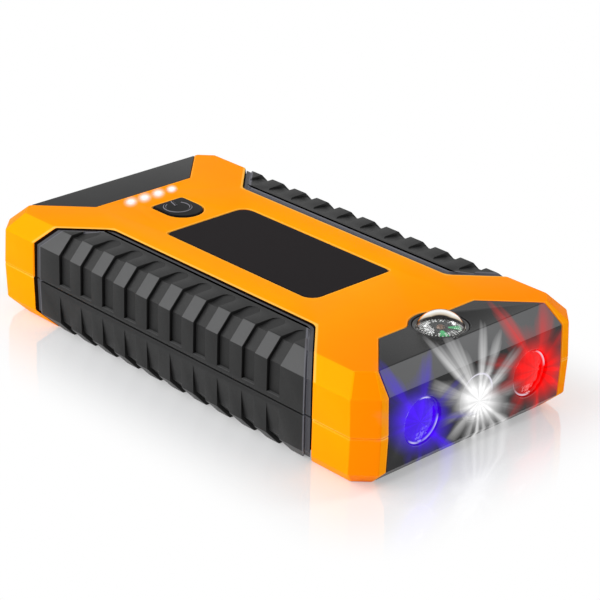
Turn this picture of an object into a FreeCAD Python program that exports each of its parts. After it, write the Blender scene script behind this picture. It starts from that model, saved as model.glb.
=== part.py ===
import FreeCAD, Part
import math
import os

V = FreeCAD.Vector

# A pocket jump starter pack. It lies flat on its lower face, z = 0, with the
# lamps at the +X end, the sockets at the -X end and the ribbed grips on both
# long sides. The two case halves are alike above and below the joint line.

# Battery pack that the case is sized round.
cell_length = 88.0
cell_width = 60.0
cell_thickness = 8.3
cell_count = 3
cell_gap = 0.2
cell_edge_round = 2.0
cell_clearance = 0.4
cell_wall_clearance = 0.2
stack_spare = 0.9
lamp_bay_length = 26.6
side_bay_width = 16.0
foam_end_inset = 3.0
tray_wall = 1.5
tray_height = 9.0
tray_end_reach = 12.0
tray_side_reach = 10.0
tab_width = 8.0
tab_thickness = 0.3
tab_length = 3.2
tab_y = 15.0
bus_thickness = 1.0
bus_width = 8.0
bus_strip_width = 5.0
bus_plate_margin = 1.5
bus_cross_setback = 9.0

# Case halves: draft of the walls, bevels and corners of the outer skin.
end_draft = 0.55
side_draft = 0.2
end_bevel_width = 6.05
side_bevel_width = 5.3
bevel_height = 5.7
wall_corner_cut = 6.2
flat_corner_cut = 4.3
edge_round = 1.0
shell_wall = 2.2
backing_wall = 1.6

# Rubber grips on the long sides.
grip_cover_width = 18.4
grip_end_setback = 21.2
grip_slant_margin = 0.2
grip_corner_radius = 5.0
grip_depth = 2.6
grip_edge_gap = 0.45
grip_joint_gap = 0.25
grip_frame_width = 2.1
grip_frame_depth = 0.7
groove_count = 10
groove_pitch = 10.82
groove_width = 5.4
groove_depth = 1.15
groove_end_depth = 0.15
groove_end_setback = 4.7
groove_ramp_length = 6.0
groove_ledge = 1.7

# Black end panels that wrap over both ends.
panel_cover_length = 21.5
panel_half_width = 36.6
panel_edge_step = 1.6
panel_depth = 2.2
panel_gap = 0.15

# Compass capsule in the lamp panel.
compass_end_setback = 16.1
compass_recess_depth = 0.8
compass_recess_gap = 0.15
compass_ring_radius = 8.5
compass_ring_height = 0.5
compass_ring_bevel = 0.25
compass_ring_clearance = 0.1
compass_bulge_radius = 9.6
compass_bulge_blend = 4.0
cup_radius = 7.7
cup_clearance = 0.1
cup_wall = 0.8
cup_floor = 1.0
cup_depth = 7.0
dome_radius = 7.1
dome_side = 0.7
dome_rise = 4.3
dome_wall = 0.8
card_radius = 6.2
card_thickness = 0.6
card_drop = 0.2
card_hub_radius = 1.3
card_hub_length = 1.2
magnet_length = 3.4
magnet_width = 1.6
magnet_thickness = 0.9
magnet_hub_gap = 0.2
pin_radius = 0.5
pin_foot_radius = 1.0
pin_foot_height = 1.0
pin_point_length = 0.8
pin_clearance = 0.1

# Three lamps behind the lamp panel.
lamp_pitch = 22.9
lens_radius = 7.4
lens_clearance = 0.15
lens_flange_radius = 8.8
lens_flange_thickness = 1.1
lens_hole_clearance = 0.3
lens_crown = 0.9
lens_face_setback = 0.35
reflector_length = 8.6
reflector_mouth_radius = 7.2
reflector_back_radius = 2.6
reflector_wall = 0.9
reflector_flange = 0.8
emitter_size = 3.4
emitter_height = 1.1
lamp_board_thickness = 1.6
lamp_board_side_reach = 10.1
lamp_board_drop = 9.5
lamp_board_rise = 8.5
lamp_post_width = 4.3
lamp_post_wall = 2.0
lamp_slot_depth = 0.8
lamp_slot_clearance = 0.1

# Name plate recess, power key and charge indicator in the upper half.
plate_half_length = 33.4
plate_half_width = 16.65
plate_small_corner = 1.5
plate_large_corner = 4.2
plate_thickness = 0.8
plate_setback = 0.1
plate_gap = 0.2
key_end_setback = 33.4
key_length = 14.6
key_half_width = 6.5
key_corner = 1.2
key_clearance = 0.3
key_proud = 0.35
key_edge_round = 0.5
key_skin = 1.4
key_stem_radius = 2.6
key_flange = 1.2
key_flange_thickness = 1.1
key_flange_gap = 0.3
key_travel = 0.5
key_stop_gap = 0.4
indicator_end_setback = 25.5
indicator_pitch = 5.8
indicator_count = 4
indicator_radius = 1.6
indicator_clearance = 0.1
light_bar_thickness = 1.6
light_bar_width = 4.4
light_leg_radius = 1.3
indicator_gap = 0.3

# Key board, hung under the upper half.
key_board_drop = 8.5
key_board_thickness = 1.2
key_board_socket_reach = 5.4
key_board_cell_reach = 3.1
key_board_cell_gap = 4.3
key_board_half_width = 17.0
key_board_inset = 2.8
key_board_boss_radius = 2.4
key_board_screw_radius = 0.9
key_board_screw_length = 3.0
key_board_screw_head = 1.7
key_board_screw_head_height = 1.2
switch_size = 6.0
switch_height = 3.5
switch_bore_radius = 1.9
switch_floor = 0.6
plunger_radius = 1.6
plunger_depth = 1.1
indicator_led_size = 2.2
indicator_led_height = 1.1

# Main board with the sockets, in the lower half.
board_thickness = 1.6
board_socket_gap = 0.6
board_end_setback = 5.2
board_cell_gap = 5.5
board_edge_setback = 8.0
board_post_radius = 2.6
board_post_inset_x = 3.0
board_post_inset_y = 3.5
board_screw_radius = 1.1
board_screw_length = 6.0
board_screw_head = 2.2
board_screw_head_height = 1.4
board_boss_clearance = 0.4
usb_far_y = 28.0
usb_pitch = 15.5
usb_width = 13.2
usb_height = 5.8
usb_length = 14.0
usb_sheet = 0.4
usb_tongue_width = 11.0
usb_tongue_thickness = 1.8
usb_tongue_drop = 0.8
usb_tongue_setback = 1.4
usb_base_length = 5.0
usb_foot_length = 1.2
usb_post_gap = 4.5
usb_panel_clearance = 0.3
jack_y = -1.5
jack_width = 8.0
jack_length = 12.0
jack_overhang = 0.6
jack_cap_drop = 0.3
jack_nose_radius = 3.5
jack_bore_radius = 2.8
jack_bore_depth = 9.5
jack_pin_radius = 1.05
jack_pin_setback = 1.2
jack_panel_clearance = 0.2
inductor_size = 10.0
inductor_height = 4.5
inductor_round = 2.0
inductor_setback = 13.5
inductor_y = 25.0
capacitor_radius = 3.1
capacitor_height = 7.5
capacitor_pitch = 8.0
capacitor_end_setback = 19.4
capacitor_y = 10.0
transistor_length = 6.0
transistor_width = 5.0
transistor_height = 1.2
transistor_pitch_x = 12.0
transistor_pitch_y = 7.0
transistor_end_setback = 24.9
transistor_y = 8.0
chip_size = 6.0
chip_height = 1.0
chip_setback = 13.5
chip_y = -21.0

# Jump lead socket and its hinged dust cover.
jump_y = -20.5
jump_width = 20.5
jump_height = 12.0
jump_length = 21.0
jump_low_corner = 5.0
jump_high_corner = 1.0
jump_bore_pitch = 9.5
jump_bore_radius = 3.3
jump_mouth_depth = 5.0
jump_panel_clearance = 0.2
jump_board_gap_x = 2.5
jump_board_gap_y = 1.25
jump_saddle_setback = 12.0
jump_saddle_length = 2.0
jump_saddle_width = 16.0
contact_wall = 0.6
contact_overhang = 3.0
contact_end_wall = 1.0
cover_width = 25.0
cover_height = 17.0
cover_thickness = 1.6
cover_corner = 2.0
cover_clearance = 0.3
cover_rib = 0.7
cover_rib_inset = 1.5
cover_barrel_radius = 1.15
cover_barrel_clearance = 0.4
cover_axis_depth = 1.55
cover_pin_radius = 0.7
cover_pin_length = 1.2
cover_pin_clearance = 0.1
pocket_depth = 3.1
pocket_wall = 1.2
pocket_shell_gap = 0.2

# Screws that hold the case together.
case_screw_end_setback = 22.6
case_screw_side_setback = 10.0
case_boss_radius = 3.2
case_screw_radius = 1.3
case_screw_grip = 9.0
case_screw_hole_spare = 2.0
case_screw_head_radius = 2.5
case_screw_head_height = 1.8
case_screw_recess = 3.0
case_screw_slot_length = 3.6
case_screw_slot_width = 0.7
case_screw_slot_depth = 0.8
screw_hole_clearance = 0.15

# Places that follow from the sizes above.
cell_half_width = cell_width / 2
backing_depth = grip_depth + backing_wall
stack_height = cell_count * cell_thickness + (cell_count - 1) * cell_gap
stack_room = stack_height + stack_spare + 2 * (backing_depth + cell_wall_clearance)
joint_height = stack_room / 2
body_top = stack_room
key_bay_length = key_end_setback + key_length + key_board_cell_reach + key_board_cell_gap
socket_bay_length = key_bay_length + tab_length
joint_half_length = (socket_bay_length + cell_length + lamp_bay_length) / 2
joint_half_width = cell_half_width + side_bay_width
wall_half_length = joint_half_length - end_draft
wall_half_width = joint_half_width - side_draft
flat_half_length = wall_half_length - end_bevel_width
flat_half_width = wall_half_width - side_bevel_width
bevel_share = math.tan(math.radians(22.5))
reach = body_top
cell_low_x = socket_bay_length - joint_half_length
grip_inner_line = joint_half_width - grip_cover_width
grip_half_length = joint_half_length - grip_end_setback
grip_slant_offset = grip_half_length - joint_half_width - grip_slant_margin
groove_inner_line = grip_inner_line + groove_end_setback
panel_inner_line = joint_half_length - panel_cover_length
panel_slant_offset = flat_half_length - panel_half_width + panel_edge_step
compass_x = joint_half_length - compass_end_setback
compass_seat = body_top - compass_recess_depth
lamp_board_half_width = lamp_pitch + lamp_board_side_reach
key_flat_x = key_end_setback - joint_half_length
key_round_x = key_flat_x + key_length
indicator_x = indicator_end_setback - joint_half_length
key_board_top = body_top - key_board_drop
key_board_low_x = indicator_x - key_board_socket_reach
key_board_high_x = key_round_x + key_board_cell_reach
board_top = joint_height - usb_height / 2 - board_socket_gap
board_low_x = board_end_setback - joint_half_length
board_high_x = cell_low_x - board_cell_gap
board_half_width = joint_half_width - board_edge_setback
usb_centres = [usb_far_y - usb_pitch, usb_far_y]
case_screw_x = joint_half_length - case_screw_end_setback
case_screw_y = joint_half_width - case_screw_side_setback


def block(low_x, high_x, low_y, high_y, low_z, high_z):
    """Box between two opposite corners."""
    corner = V(low_x, low_y, low_z)
    return Part.makeBox(high_x - low_x, high_y - low_y, high_z - low_z, corner)


def rod(radius, start, direction, length):
    """Round bar from a point along a direction."""
    return Part.makeCylinder(radius, length, V(*start), V(*direction))


def outline(points):
    """Flat face through (x, y, corner radius) points, corners rounded."""
    corners = []
    for index, (x, y, radius) in enumerate(points):
        here = V(x, y, 0)
        previous = V(points[index - 1][0], points[index - 1][1], 0)
        following_point = points[(index + 1) % len(points)]
        following = V(following_point[0], following_point[1], 0)
        if radius <= 0:
            corners.append((here, here, here))
            continue
        back = (previous - here).normalize()
        ahead = (following - here).normalize()
        half_angle = back.getAngle(ahead) / 2
        tangent = radius / math.tan(half_angle)
        inward = (back + ahead).normalize()
        centre = here + inward * (radius / math.sin(half_angle))
        middle = centre - inward * radius
        corners.append((here + back * tangent, middle, here + ahead * tangent))
    edges = []
    for index, (begin, middle, end) in enumerate(corners):
        if (end - begin).Length > 1e-6:
            edges.append(Part.Arc(begin, middle, end).toShape())
        next_begin = corners[(index + 1) % len(corners)][0]
        if (next_begin - end).Length > 1e-6:
            edges.append(Part.makeLine(end, next_begin))
    return Part.Face(Part.Wire(edges))


def prism(points, low_z, high_z):
    """Upright column over a rounded outline."""
    face = outline(points)
    face.translate(V(0, 0, low_z))
    return face.extrude(V(0, 0, high_z - low_z))


def turned(profile, origin, axis):
    """Solid turned from (radius, height) points about an axis."""
    points = [V(radius, 0, height) for radius, height in profile]
    face = Part.Face(Part.makePolygon(points + [points[0]]))
    solid = face.revolve(V(0, 0, 0), V(0, 0, 1), 360)
    turn = FreeCAD.Rotation(V(0, 0, 1), V(*axis))
    solid.Placement = FreeCAD.Placement(V(*origin), turn)
    return solid


def section(half_length, half_width, cut, height):
    """Eight sided outline of the case at one height."""
    points = [
        V(half_length - cut, -half_width, height),
        V(half_length, cut - half_width, height),
        V(half_length, half_width - cut, height),
        V(half_length - cut, half_width, height),
        V(cut - half_length, half_width, height),
        V(-half_length, half_width - cut, height),
        V(-half_length, cut - half_width, height),
        V(cut - half_length, -half_width, height),
    ]
    return points


def polygon_face(points):
    """Flat face inside a ring of points."""
    return Part.Face(Part.makePolygon(points + [points[0]]))


def case_block(inset):
    """The whole case as one solid, its skin moved inward by the inset."""
    share = bevel_share * inset
    cut_loss = (2 - math.sqrt(2)) * inset
    flat = (flat_half_length - share, flat_half_width - share, flat_corner_cut - bevel_share * cut_loss)
    wall = (wall_half_length - inset, wall_half_width - inset, wall_corner_cut - cut_loss)
    joint = (joint_half_length - inset, joint_half_width - inset, wall_corner_cut - cut_loss)
    levels = [
        section(*flat, inset),
        section(*wall, bevel_height + share),
        section(*joint, joint_height),
        section(*wall, body_top - bevel_height - share),
        section(*flat, body_top - inset),
    ]
    faces = [polygon_face(list(reversed(levels[0]))), polygon_face(levels[-1])]
    for lower, upper in zip(levels, levels[1:]):
        for index, corner in enumerate(lower):
            following = (index + 1) % len(lower)
            faces.append(polygon_face([corner, lower[following], upper[following], upper[index]]))
    shell = Part.Shell(faces)
    shell.sewShape()
    return Part.Solid(shell)


def rounded_case_block():
    """Outer skin of the case, softened round its two flat faces."""
    solid = case_block(0)
    edges = []
    for face in solid.Faces:
        if face.BoundBox.ZLength < 0.01:
            edges.extend(face.Edges)
    return solid.makeFillet(edge_round, edges)


def upper_space(clearance):
    """Everything above the joint line."""
    return block(-200, 200, -200, 200, joint_height + clearance, body_top + reach)


def lower_space(clearance):
    """Everything below the joint line."""
    return block(-200, 200, -200, 200, -reach, joint_height - clearance)


def grip_region(side, gap):
    """Column over one grip's plan shape, its border moved inward by the gap."""
    inner = grip_inner_line + gap
    slant = grip_slant_offset - math.sqrt(2) * gap
    end = grip_half_length - gap
    outside = joint_half_width + reach
    radius = grip_corner_radius - gap
    points = [
        (-inner - slant, side * inner, radius),
        (inner + slant, side * inner, radius),
        (end, side * (end - slant), 0),
        (end, side * outside, 0),
        (-end, side * outside, 0),
        (-end, side * (end - slant), 0),
    ]
    return prism(points, -reach, body_top + reach)


def panel_region(side, gap, low_z, high_z):
    """Column over one end panel's plan shape."""
    inner = panel_inner_line + gap
    slant = panel_slant_offset + math.sqrt(2) * gap
    half_width = panel_half_width - gap
    outside = joint_half_length + reach
    points = [
        (side * inner, -(inner - slant), 0),
        (side * inner, inner - slant, 0),
        (side * flat_half_length, flat_half_length - slant, 0),
        (side * wall_half_length, half_width, 0),
        (side * outside, half_width, 0),
        (side * outside, -half_width, 0),
        (side * wall_half_length, -half_width, 0),
        (side * flat_half_length, -(flat_half_length - slant), 0),
    ]
    return prism(points, low_z, high_z)


def compass_bulge(region, gap):
    """Adds the round field that the compass sits in to the lamp panel."""
    radius = compass_bulge_radius - gap
    field = rod(radius, (compass_x, 0, joint_height), (0, 0, 1), body_top + reach - joint_height)
    joined = region.fuse(field).removeSplitter()
    meeting_x = panel_inner_line + gap
    meeting_y = math.sqrt(radius ** 2 - (compass_x - meeting_x) ** 2)
    edges = []
    for edge in joined.Edges:
        middle = edge.CenterOfMass
        if abs(middle.x - meeting_x) < 0.01 and abs(abs(middle.y) - meeting_y) < 0.01:
            edges.append(edge)
    return joined.makeFillet(compass_bulge_blend + gap, edges)


def lamp_region(gap):
    """Plan shape of the lamp panel, with the compass field on the upper half."""
    upper = panel_region(1, gap, joint_height, body_top + reach)
    lower = panel_region(1, gap, -reach, joint_height)
    return compass_bulge(upper, gap).fuse(lower)


def port_region(gap):
    """Plan shape of the socket end panel."""
    return panel_region(-1, gap, -reach, body_top + reach)


outer_case = rounded_case_block()
grip_seat = case_block(grip_depth)
panel_seat = case_block(panel_depth)
backing_case = case_block(backing_depth)
wall_case = case_block(shell_wall)


def lamp_positions():
    """Lamp centres across the width."""
    return [-lamp_pitch, 0, lamp_pitch]


def corner_positions(x, y):
    """Four mirrored places in plan."""
    return [(x, y), (x, -y), (-x, y), (-x, -y)]


def indicator_positions():
    """Charge dot centres across the width."""
    first = -indicator_pitch * (indicator_count - 1) / 2
    return [first + indicator_pitch * index for index in range(indicator_count)]


def key_outline(gap):
    """D shaped outline of the power key, straight toward the sockets."""
    radius = key_half_width + gap
    low = key_flat_x - gap
    high = key_round_x + gap
    points = [
        (low, -radius, key_corner),
        (high, -radius, radius - 0.05),
        (high, radius, radius - 0.05),
        (low, radius, key_corner),
    ]
    return points


def plate_outline(gap):
    """Name plate outline, two small and two large corners on the diagonals."""
    half_length = plate_half_length + gap
    half_width = plate_half_width + gap
    points = [
        (-half_length, -half_width, plate_small_corner),
        (half_length, -half_width, plate_large_corner),
        (half_length, half_width, plate_small_corner),
        (-half_length, half_width, plate_large_corner),
    ]
    return points


def case_cavity():
    """Inner space of the case, with thicker walls behind grips and panels."""
    backed = grip_region(-1, -backing_wall).fuse([
        grip_region(1, -backing_wall),
        panel_region(1, -backing_wall, -reach, body_top + reach),
        panel_region(-1, -backing_wall, -reach, body_top + reach),
    ])
    return wall_case.cut(backed).fuse(backing_case)


def skin_recesses():
    """Shallow seats in the case for the grips and the end panels."""
    grips = grip_region(-1, 0).fuse(grip_region(1, 0)).cut(grip_seat)
    panels = lamp_region(0).fuse(port_region(0)).cut(panel_seat)
    return grips.fuse(panels)


case_inside = case_cavity()
recesses = skin_recesses()


def end_openings():
    """Openings through the case ends for lamps and sockets."""
    openings = []
    inside_x = joint_half_length - backing_depth - 1
    depth = backing_depth + 2
    for y in lamp_positions():
        radius = lens_flange_radius + lens_hole_clearance
        openings.append(rod(radius, (inside_x, y, joint_height), (1, 0, 0), depth))
    low_x = -inside_x - depth
    high_x = -inside_x
    for y in usb_centres:
        half = usb_width / 2 + usb_panel_clearance
        tall = usb_height / 2 + usb_panel_clearance
        openings.append(block(low_x, high_x, y - half, y + half, joint_height - tall, joint_height + tall))
    half = jack_width / 2 + jack_panel_clearance
    openings.append(block(low_x, high_x, jack_y - half, jack_y + half, board_top, joint_height + half))
    surround = cover_clearance + pocket_wall + pocket_shell_gap
    half = cover_width / 2 + surround
    tall = cover_height / 2 + surround
    low_z = joint_height - tall
    openings.append(block(low_x, high_x, jump_y - half, jump_y + half, low_z, joint_height + tall))
    return openings


def upper_bosses():
    """Screw bosses that hang from the upper half."""
    solids = []
    for x, y in corner_positions(case_screw_x, case_screw_y):
        solids.append(rod(case_boss_radius, (x, y, joint_height), (0, 0, 1), body_top - joint_height))
    for x, y in key_board_corners():
        solids.append(rod(key_board_boss_radius, (x, y, key_board_top), (0, 0, 1), key_board_drop))
    return solids


def key_board_corners():
    """Boss places at the corners of the key board."""
    places = []
    for x in (key_board_low_x + key_board_inset, key_board_high_x - key_board_inset):
        for side in (-1, 1):
            places.append((x, side * (key_board_half_width - key_board_inset)))
    return places


def make_upper_shell():
    """Upper case half with its seats, bosses and openings."""
    shell = outer_case.common(upper_space(0)).cut(case_inside)
    bosses = [boss.common(case_block(shell_wall / 2)) for boss in upper_bosses()]
    shell = shell.fuse(bosses).cut(recesses)
    plate_floor = body_top - plate_thickness - plate_setback
    cuts = end_openings()
    cuts.append(prism(plate_outline(plate_gap), plate_floor, body_top + 1))
    cuts.append(prism(key_outline(key_clearance), body_top - shell_wall - 1, body_top + 1))
    low_z = body_top - backing_depth - 1
    through = backing_depth + 2
    for y in indicator_positions():
        cuts.append(rod(indicator_radius + indicator_clearance, (indicator_x, y, low_z), (0, 0, 1), through))
    cuts.append(rod(cup_radius + cup_clearance, (compass_x, 0, low_z), (0, 0, 1), through))
    for x, y in corner_positions(case_screw_x, case_screw_y):
        depth = case_screw_grip + case_screw_hole_spare
        cuts.append(rod(case_screw_radius, (x, y, joint_height - 1), (0, 0, 1), depth + 1))
    for x, y in key_board_corners():
        depth = key_board_screw_length + screw_hole_clearance
        cuts.append(rod(key_board_screw_radius, (x, y, key_board_top - 1), (0, 0, 1), depth + 1))
    return shell.cut(cuts)


def cell_tray():
    """Low walls that hold the battery in place."""
    low_x = cell_low_x - cell_clearance
    high_x = cell_low_x + cell_length + cell_clearance
    half = cell_half_width + cell_clearance
    wall = tray_wall
    top = shell_wall + tray_height
    outer = block(low_x - wall, high_x + wall, -half - wall, half + wall, 0, top)
    inner = block(low_x, high_x, -half, half, -1, top + 1)
    low_gap = low_x + tray_end_reach
    high_gap = high_x - tray_end_reach
    side_gap = block(low_gap, high_gap, -half - 2 * wall, half + 2 * wall, -1, top + 1)
    end_reach = half - tray_side_reach
    end_gap = block(low_x - 2 * wall, high_x + 2 * wall, -end_reach, end_reach, -1, top + 1)
    return outer.cut([inner, side_gap, end_gap])


def lamp_board_posts():
    """Slotted posts that hold the lamp board upright."""
    back = lamp_board_back()
    front = back + lamp_board_thickness
    low_x = back - lamp_post_wall
    high_x = front + lamp_post_wall
    inner = lamp_board_half_width - lamp_slot_depth
    outer = inner + lamp_post_width
    edge = lamp_board_half_width + lamp_slot_clearance
    gap = lamp_slot_clearance
    posts = []
    for side in (-1, 1):
        post = block(low_x, high_x, inner, outer, shell_wall - 1, joint_height)
        slot_low = joint_height - lamp_board_drop
        slot = block(back - gap, front + gap, inner - 1, edge, slot_low, joint_height + 1)
        post = post.cut(slot)
        if side < 0:
            post = post.mirror(V(0, 0, 0), V(0, 1, 0))
        posts.append(post)
    return posts


def board_screw_places():
    """Four places where the main board is screwed down."""
    far_x = board_high_x - board_post_inset_x
    edge_y = board_half_width - board_post_inset_y
    usb_x = usb_face_x() + usb_length + usb_foot_length + usb_post_gap
    corner_x, corner_y = board_corner()
    places = [
        (usb_x, usb_far_y - usb_pitch / 2),
        (far_x, edge_y),
        (far_x, -edge_y),
        (corner_x + board_post_inset_x, corner_y + board_post_inset_y),
    ]
    return places


def board_corner():
    """X and Y of the inner corner of the board beside the jump socket."""
    x = socket_face_x() + jump_length + jump_board_gap_x
    y = jump_y + jump_width / 2 + jump_board_gap_y
    return x, y


def lens_back():
    """X of the rear face of the lens flange."""
    return wall_half_length - panel_depth - lens_flange_thickness


def lamp_board_back():
    """X of the rear face of the lamp board."""
    return lens_back() - reflector_length - lamp_board_thickness


def make_lower_shell():
    """Lower case half with tray, posts, bosses and openings."""
    shell = outer_case.common(lower_space(0)).cut(case_inside)
    inside_parts = [cell_tray()]
    inside_parts.extend(lamp_board_posts())
    for x, y in corner_positions(case_screw_x, case_screw_y):
        inside_parts.append(rod(case_boss_radius, (x, y, 0), (0, 0, 1), joint_height))
    for x, y in board_screw_places():
        inside_parts.append(rod(board_post_radius, (x, y, 0), (0, 0, 1), board_top - board_thickness))
    saddle_x = socket_face_x() + jump_saddle_setback
    half = jump_saddle_width / 2
    saddle_top = joint_height - jump_height / 2
    saddle_end = saddle_x + jump_saddle_length
    inside_parts.append(block(saddle_x, saddle_end, jump_y - half, jump_y + half, 0, saddle_top))
    limit = case_block(shell_wall / 2).common(lower_space(0))
    shell = shell.fuse([piece.common(limit) for piece in inside_parts]).cut(recesses)
    cuts = end_openings()
    for x, y in corner_positions(case_screw_x, case_screw_y):
        radius = case_screw_radius + screw_hole_clearance
        cuts.append(rod(radius, (x, y, -1), (0, 0, 1), joint_height + 2))
        head_radius = case_screw_head_radius + screw_hole_clearance
        cuts.append(rod(head_radius, (x, y, -1), (0, 0, 1), case_screw_recess + case_screw_head_height + 1))
    for x, y in board_screw_places():
        depth = board_screw_length + screw_hole_clearance
        cuts.append(rod(board_screw_radius, (x, y, board_top - depth), (0, 0, 1), depth))
    return shell.cut(cuts)


def groove_profile(upper):
    """Outline of the space cut away by a groove, as (distance from the centre line, z)."""
    depth = groove_depth
    share = bevel_share * depth
    outside = joint_half_width + reach
    flat_edge = flat_half_width - share
    ramp_end = groove_inner_line + groove_ramp_length
    wall_edge = wall_half_width - depth
    if upper:
        ledge = joint_height + groove_ledge
        ledge_share = groove_ledge / (body_top - joint_height - bevel_height)
        ledge_edge = joint_half_width - depth - ledge_share * (joint_half_width - wall_half_width)
        points = [
            (groove_inner_line, body_top - groove_end_depth),
            (ramp_end, body_top - depth),
            (flat_edge, body_top - depth),
            (wall_edge, body_top - bevel_height - share),
            (ledge_edge, ledge),
            (outside, ledge),
            (outside, body_top + reach),
            (groove_inner_line, body_top + reach),
        ]
        return points
    points = [
        (groove_inner_line, groove_end_depth),
        (ramp_end, depth),
        (flat_edge, depth),
        (wall_edge, bevel_height + share),
        (joint_half_width, joint_height - groove_ledge),
        (outside, joint_height - groove_ledge),
        (outside, -reach),
        (groove_inner_line, -reach),
    ]
    return points


def groove_cutters(side, upper):
    """Row of round ended grooves across one grip half."""
    profile = [V(0, side * distance, z) for distance, z in groove_profile(upper)]
    face = Part.Face(Part.makePolygon(profile + [profile[0]]))
    outside = joint_half_width + reach
    half = groove_width / 2
    cutters = []
    first = -groove_pitch * (groove_count - 1) / 2
    for index in range(groove_count):
        centre = first + groove_pitch * index
        slab = face.extrude(V(groove_width, 0, 0))
        slab.translate(V(centre - half, 0, 0))
        plan = [
            (centre - half, side * groove_inner_line, half - 0.05),
            (centre + half, side * groove_inner_line, half - 0.05),
            (centre + half, side * outside, 0),
            (centre - half, side * outside, 0),
        ]
        cutters.append(slab.common(prism(plan, -reach, body_top + reach)))
    return cutters


def make_grip(side, upper):
    """One moulded rubber grip half: sunk frame, raised pad, finger grooves."""
    space = upper_space(grip_joint_gap) if upper else lower_space(grip_joint_gap)
    frame = grip_region(side, grip_edge_gap).common(case_block(grip_frame_depth))
    pad = grip_region(side, grip_frame_width).common(outer_case)
    grip = frame.fuse(pad).cut(grip_seat).common(space)
    return grip.cut(groove_cutters(side, upper)).removeSplitter()


def make_lamp_panel():
    """Black panel over the lamp end, with three lens holes and a sunk compass seat."""
    panel = lamp_region(panel_gap).common(outer_case).cut(panel_seat)
    cuts = []
    start = wall_half_length - panel_depth - 2
    for y in lamp_positions():
        cuts.append(rod(lens_radius + lens_clearance, (start, y, joint_height), (1, 0, 0), panel_depth + 5))
    seat_low = body_top - panel_depth - 1
    cuts.append(rod(cup_radius + cup_clearance, (compass_x, 0, seat_low), (0, 0, 1), panel_depth + 2))
    ring_hole = compass_ring_radius + compass_recess_gap
    cuts.append(rod(ring_hole, (compass_x, 0, compass_seat), (0, 0, 1), compass_recess_depth + 1))
    return panel.cut(cuts)


def socket_face_x():
    """X of the pocket floor that the jump socket's face meets."""
    return pocket_depth - joint_half_length


def cover_axis():
    """X and Z of the dust cover's hinge line."""
    x = cover_axis_depth - joint_half_length
    z = joint_height + cover_height / 2 - cover_barrel_radius
    return x, z


def jump_outline(gap):
    """Rounded outline of the jump socket in its face plane, as (y, z)."""
    half = jump_width / 2 + gap
    tall = jump_height / 2 + gap
    points = [
        (-half, -tall, jump_low_corner),
        (half, -tall, jump_low_corner),
        (half, tall, jump_high_corner),
        (-half, tall, jump_high_corner),
    ]
    return points


def along_x(points, low_x, high_x, centre_y, centre_z):
    """Bar along X whose section is an outline in (y, z)."""
    bar = outline(points).extrude(V(0, 0, high_x - low_x))
    turn = FreeCAD.Rotation(V(0, 1, 0), V(0, 0, 1), V(1, 0, 0), "XYZ")
    bar.Placement = FreeCAD.Placement(V(low_x, centre_y, centre_z), turn)
    return bar


def make_port_panel():
    """Black panel over the socket end, with the pocket for the dust cover."""
    panel = port_region(panel_gap).common(outer_case).cut(panel_seat)
    floor_x = socket_face_x()
    half = cover_width / 2 + cover_clearance
    low_z = joint_height - cover_height / 2 - cover_clearance
    high_z = joint_height + cover_height / 2 + cover_barrel_clearance
    wall = pocket_wall
    pocket = block(1 - joint_half_length, floor_x + wall, jump_y - half - wall, jump_y + half + wall,
                   low_z - wall, high_z + wall)
    panel = panel.fuse(pocket)
    outside_x = -joint_half_length - 2
    cuts = [block(outside_x, floor_x, jump_y - half, jump_y + half, low_z, high_z)]
    socket_hole = jump_outline(jump_panel_clearance)
    cuts.append(along_x(socket_hole, floor_x - 1, floor_x + wall + 1, jump_y, joint_height))
    axis_x, axis_z = cover_axis()
    pin_hole = cover_pin_radius + cover_pin_clearance
    pin_reach = cover_width / 2 + cover_pin_length + cover_clearance
    cuts.append(rod(pin_hole, (axis_x, jump_y - pin_reach, axis_z), (0, 1, 0), 2 * pin_reach))
    depth = panel_depth + 4
    for y in usb_centres:
        width = usb_width / 2 + usb_panel_clearance
        height = usb_height / 2 + usb_panel_clearance
        cuts.append(block(outside_x, outside_x + depth, y - width, y + width,
                          joint_height - height, joint_height + height))
    nose_hole = jack_nose_radius + jack_panel_clearance
    cuts.append(rod(nose_hole, (outside_x, jack_y, joint_height), (1, 0, 0), depth))
    return panel.cut(cuts)


def make_name_plate():
    """Bare plate that fills the recess in the upper half."""
    top = body_top - plate_setback
    return prism(plate_outline(0), top - plate_thickness, top)


def make_power_key():
    """Power key with a retaining flange and a stem over the switch."""
    ceiling = body_top - shell_wall
    flange_top = ceiling - key_flange_gap
    flange_low = flange_top - key_flange_thickness
    key_top = body_top + key_proud
    key = prism(key_outline(0), flange_low, key_top)
    top_edges = [edge for edge in key.Edges if edge.BoundBox.ZMin > key_top - 0.01]
    key = key.makeFillet(key_edge_round, top_edges)
    hollow = prism(key_outline(-key_skin), flange_low - 1, key_top - key_skin)
    flange = prism(key_outline(key_flange), flange_low, flange_top).cut(hollow)
    stem_low = plunger_top()
    stem = rod(key_stem_radius, (switch_centre_x(), 0, stem_low), (0, 0, 1), key_top - key_skin - stem_low)
    return key.cut(hollow).fuse([flange, stem]).removeSplitter()


def switch_centre_x():
    """X of the switch under the power key."""
    return (key_flat_x + key_round_x) / 2


def plunger_top():
    """Z of the plunger's upper end at rest."""
    return key_board_top + switch_height + key_travel + key_stop_gap


def make_switch_body():
    """Square push switch with a blind bore for its plunger."""
    x = switch_centre_x()
    half = switch_size / 2
    body = block(x - half, x + half, -half, half, key_board_top, key_board_top + switch_height)
    return body.cut(rod(switch_bore_radius, (x, 0, key_board_top + switch_floor), (0, 0, 1), switch_height))


def make_switch_plunger():
    """Plunger that goes down with the power key."""
    low = key_board_top + switch_height - plunger_depth
    return rod(plunger_radius, (switch_centre_x(), 0, low), (0, 0, 1), plunger_top() - low)


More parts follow.
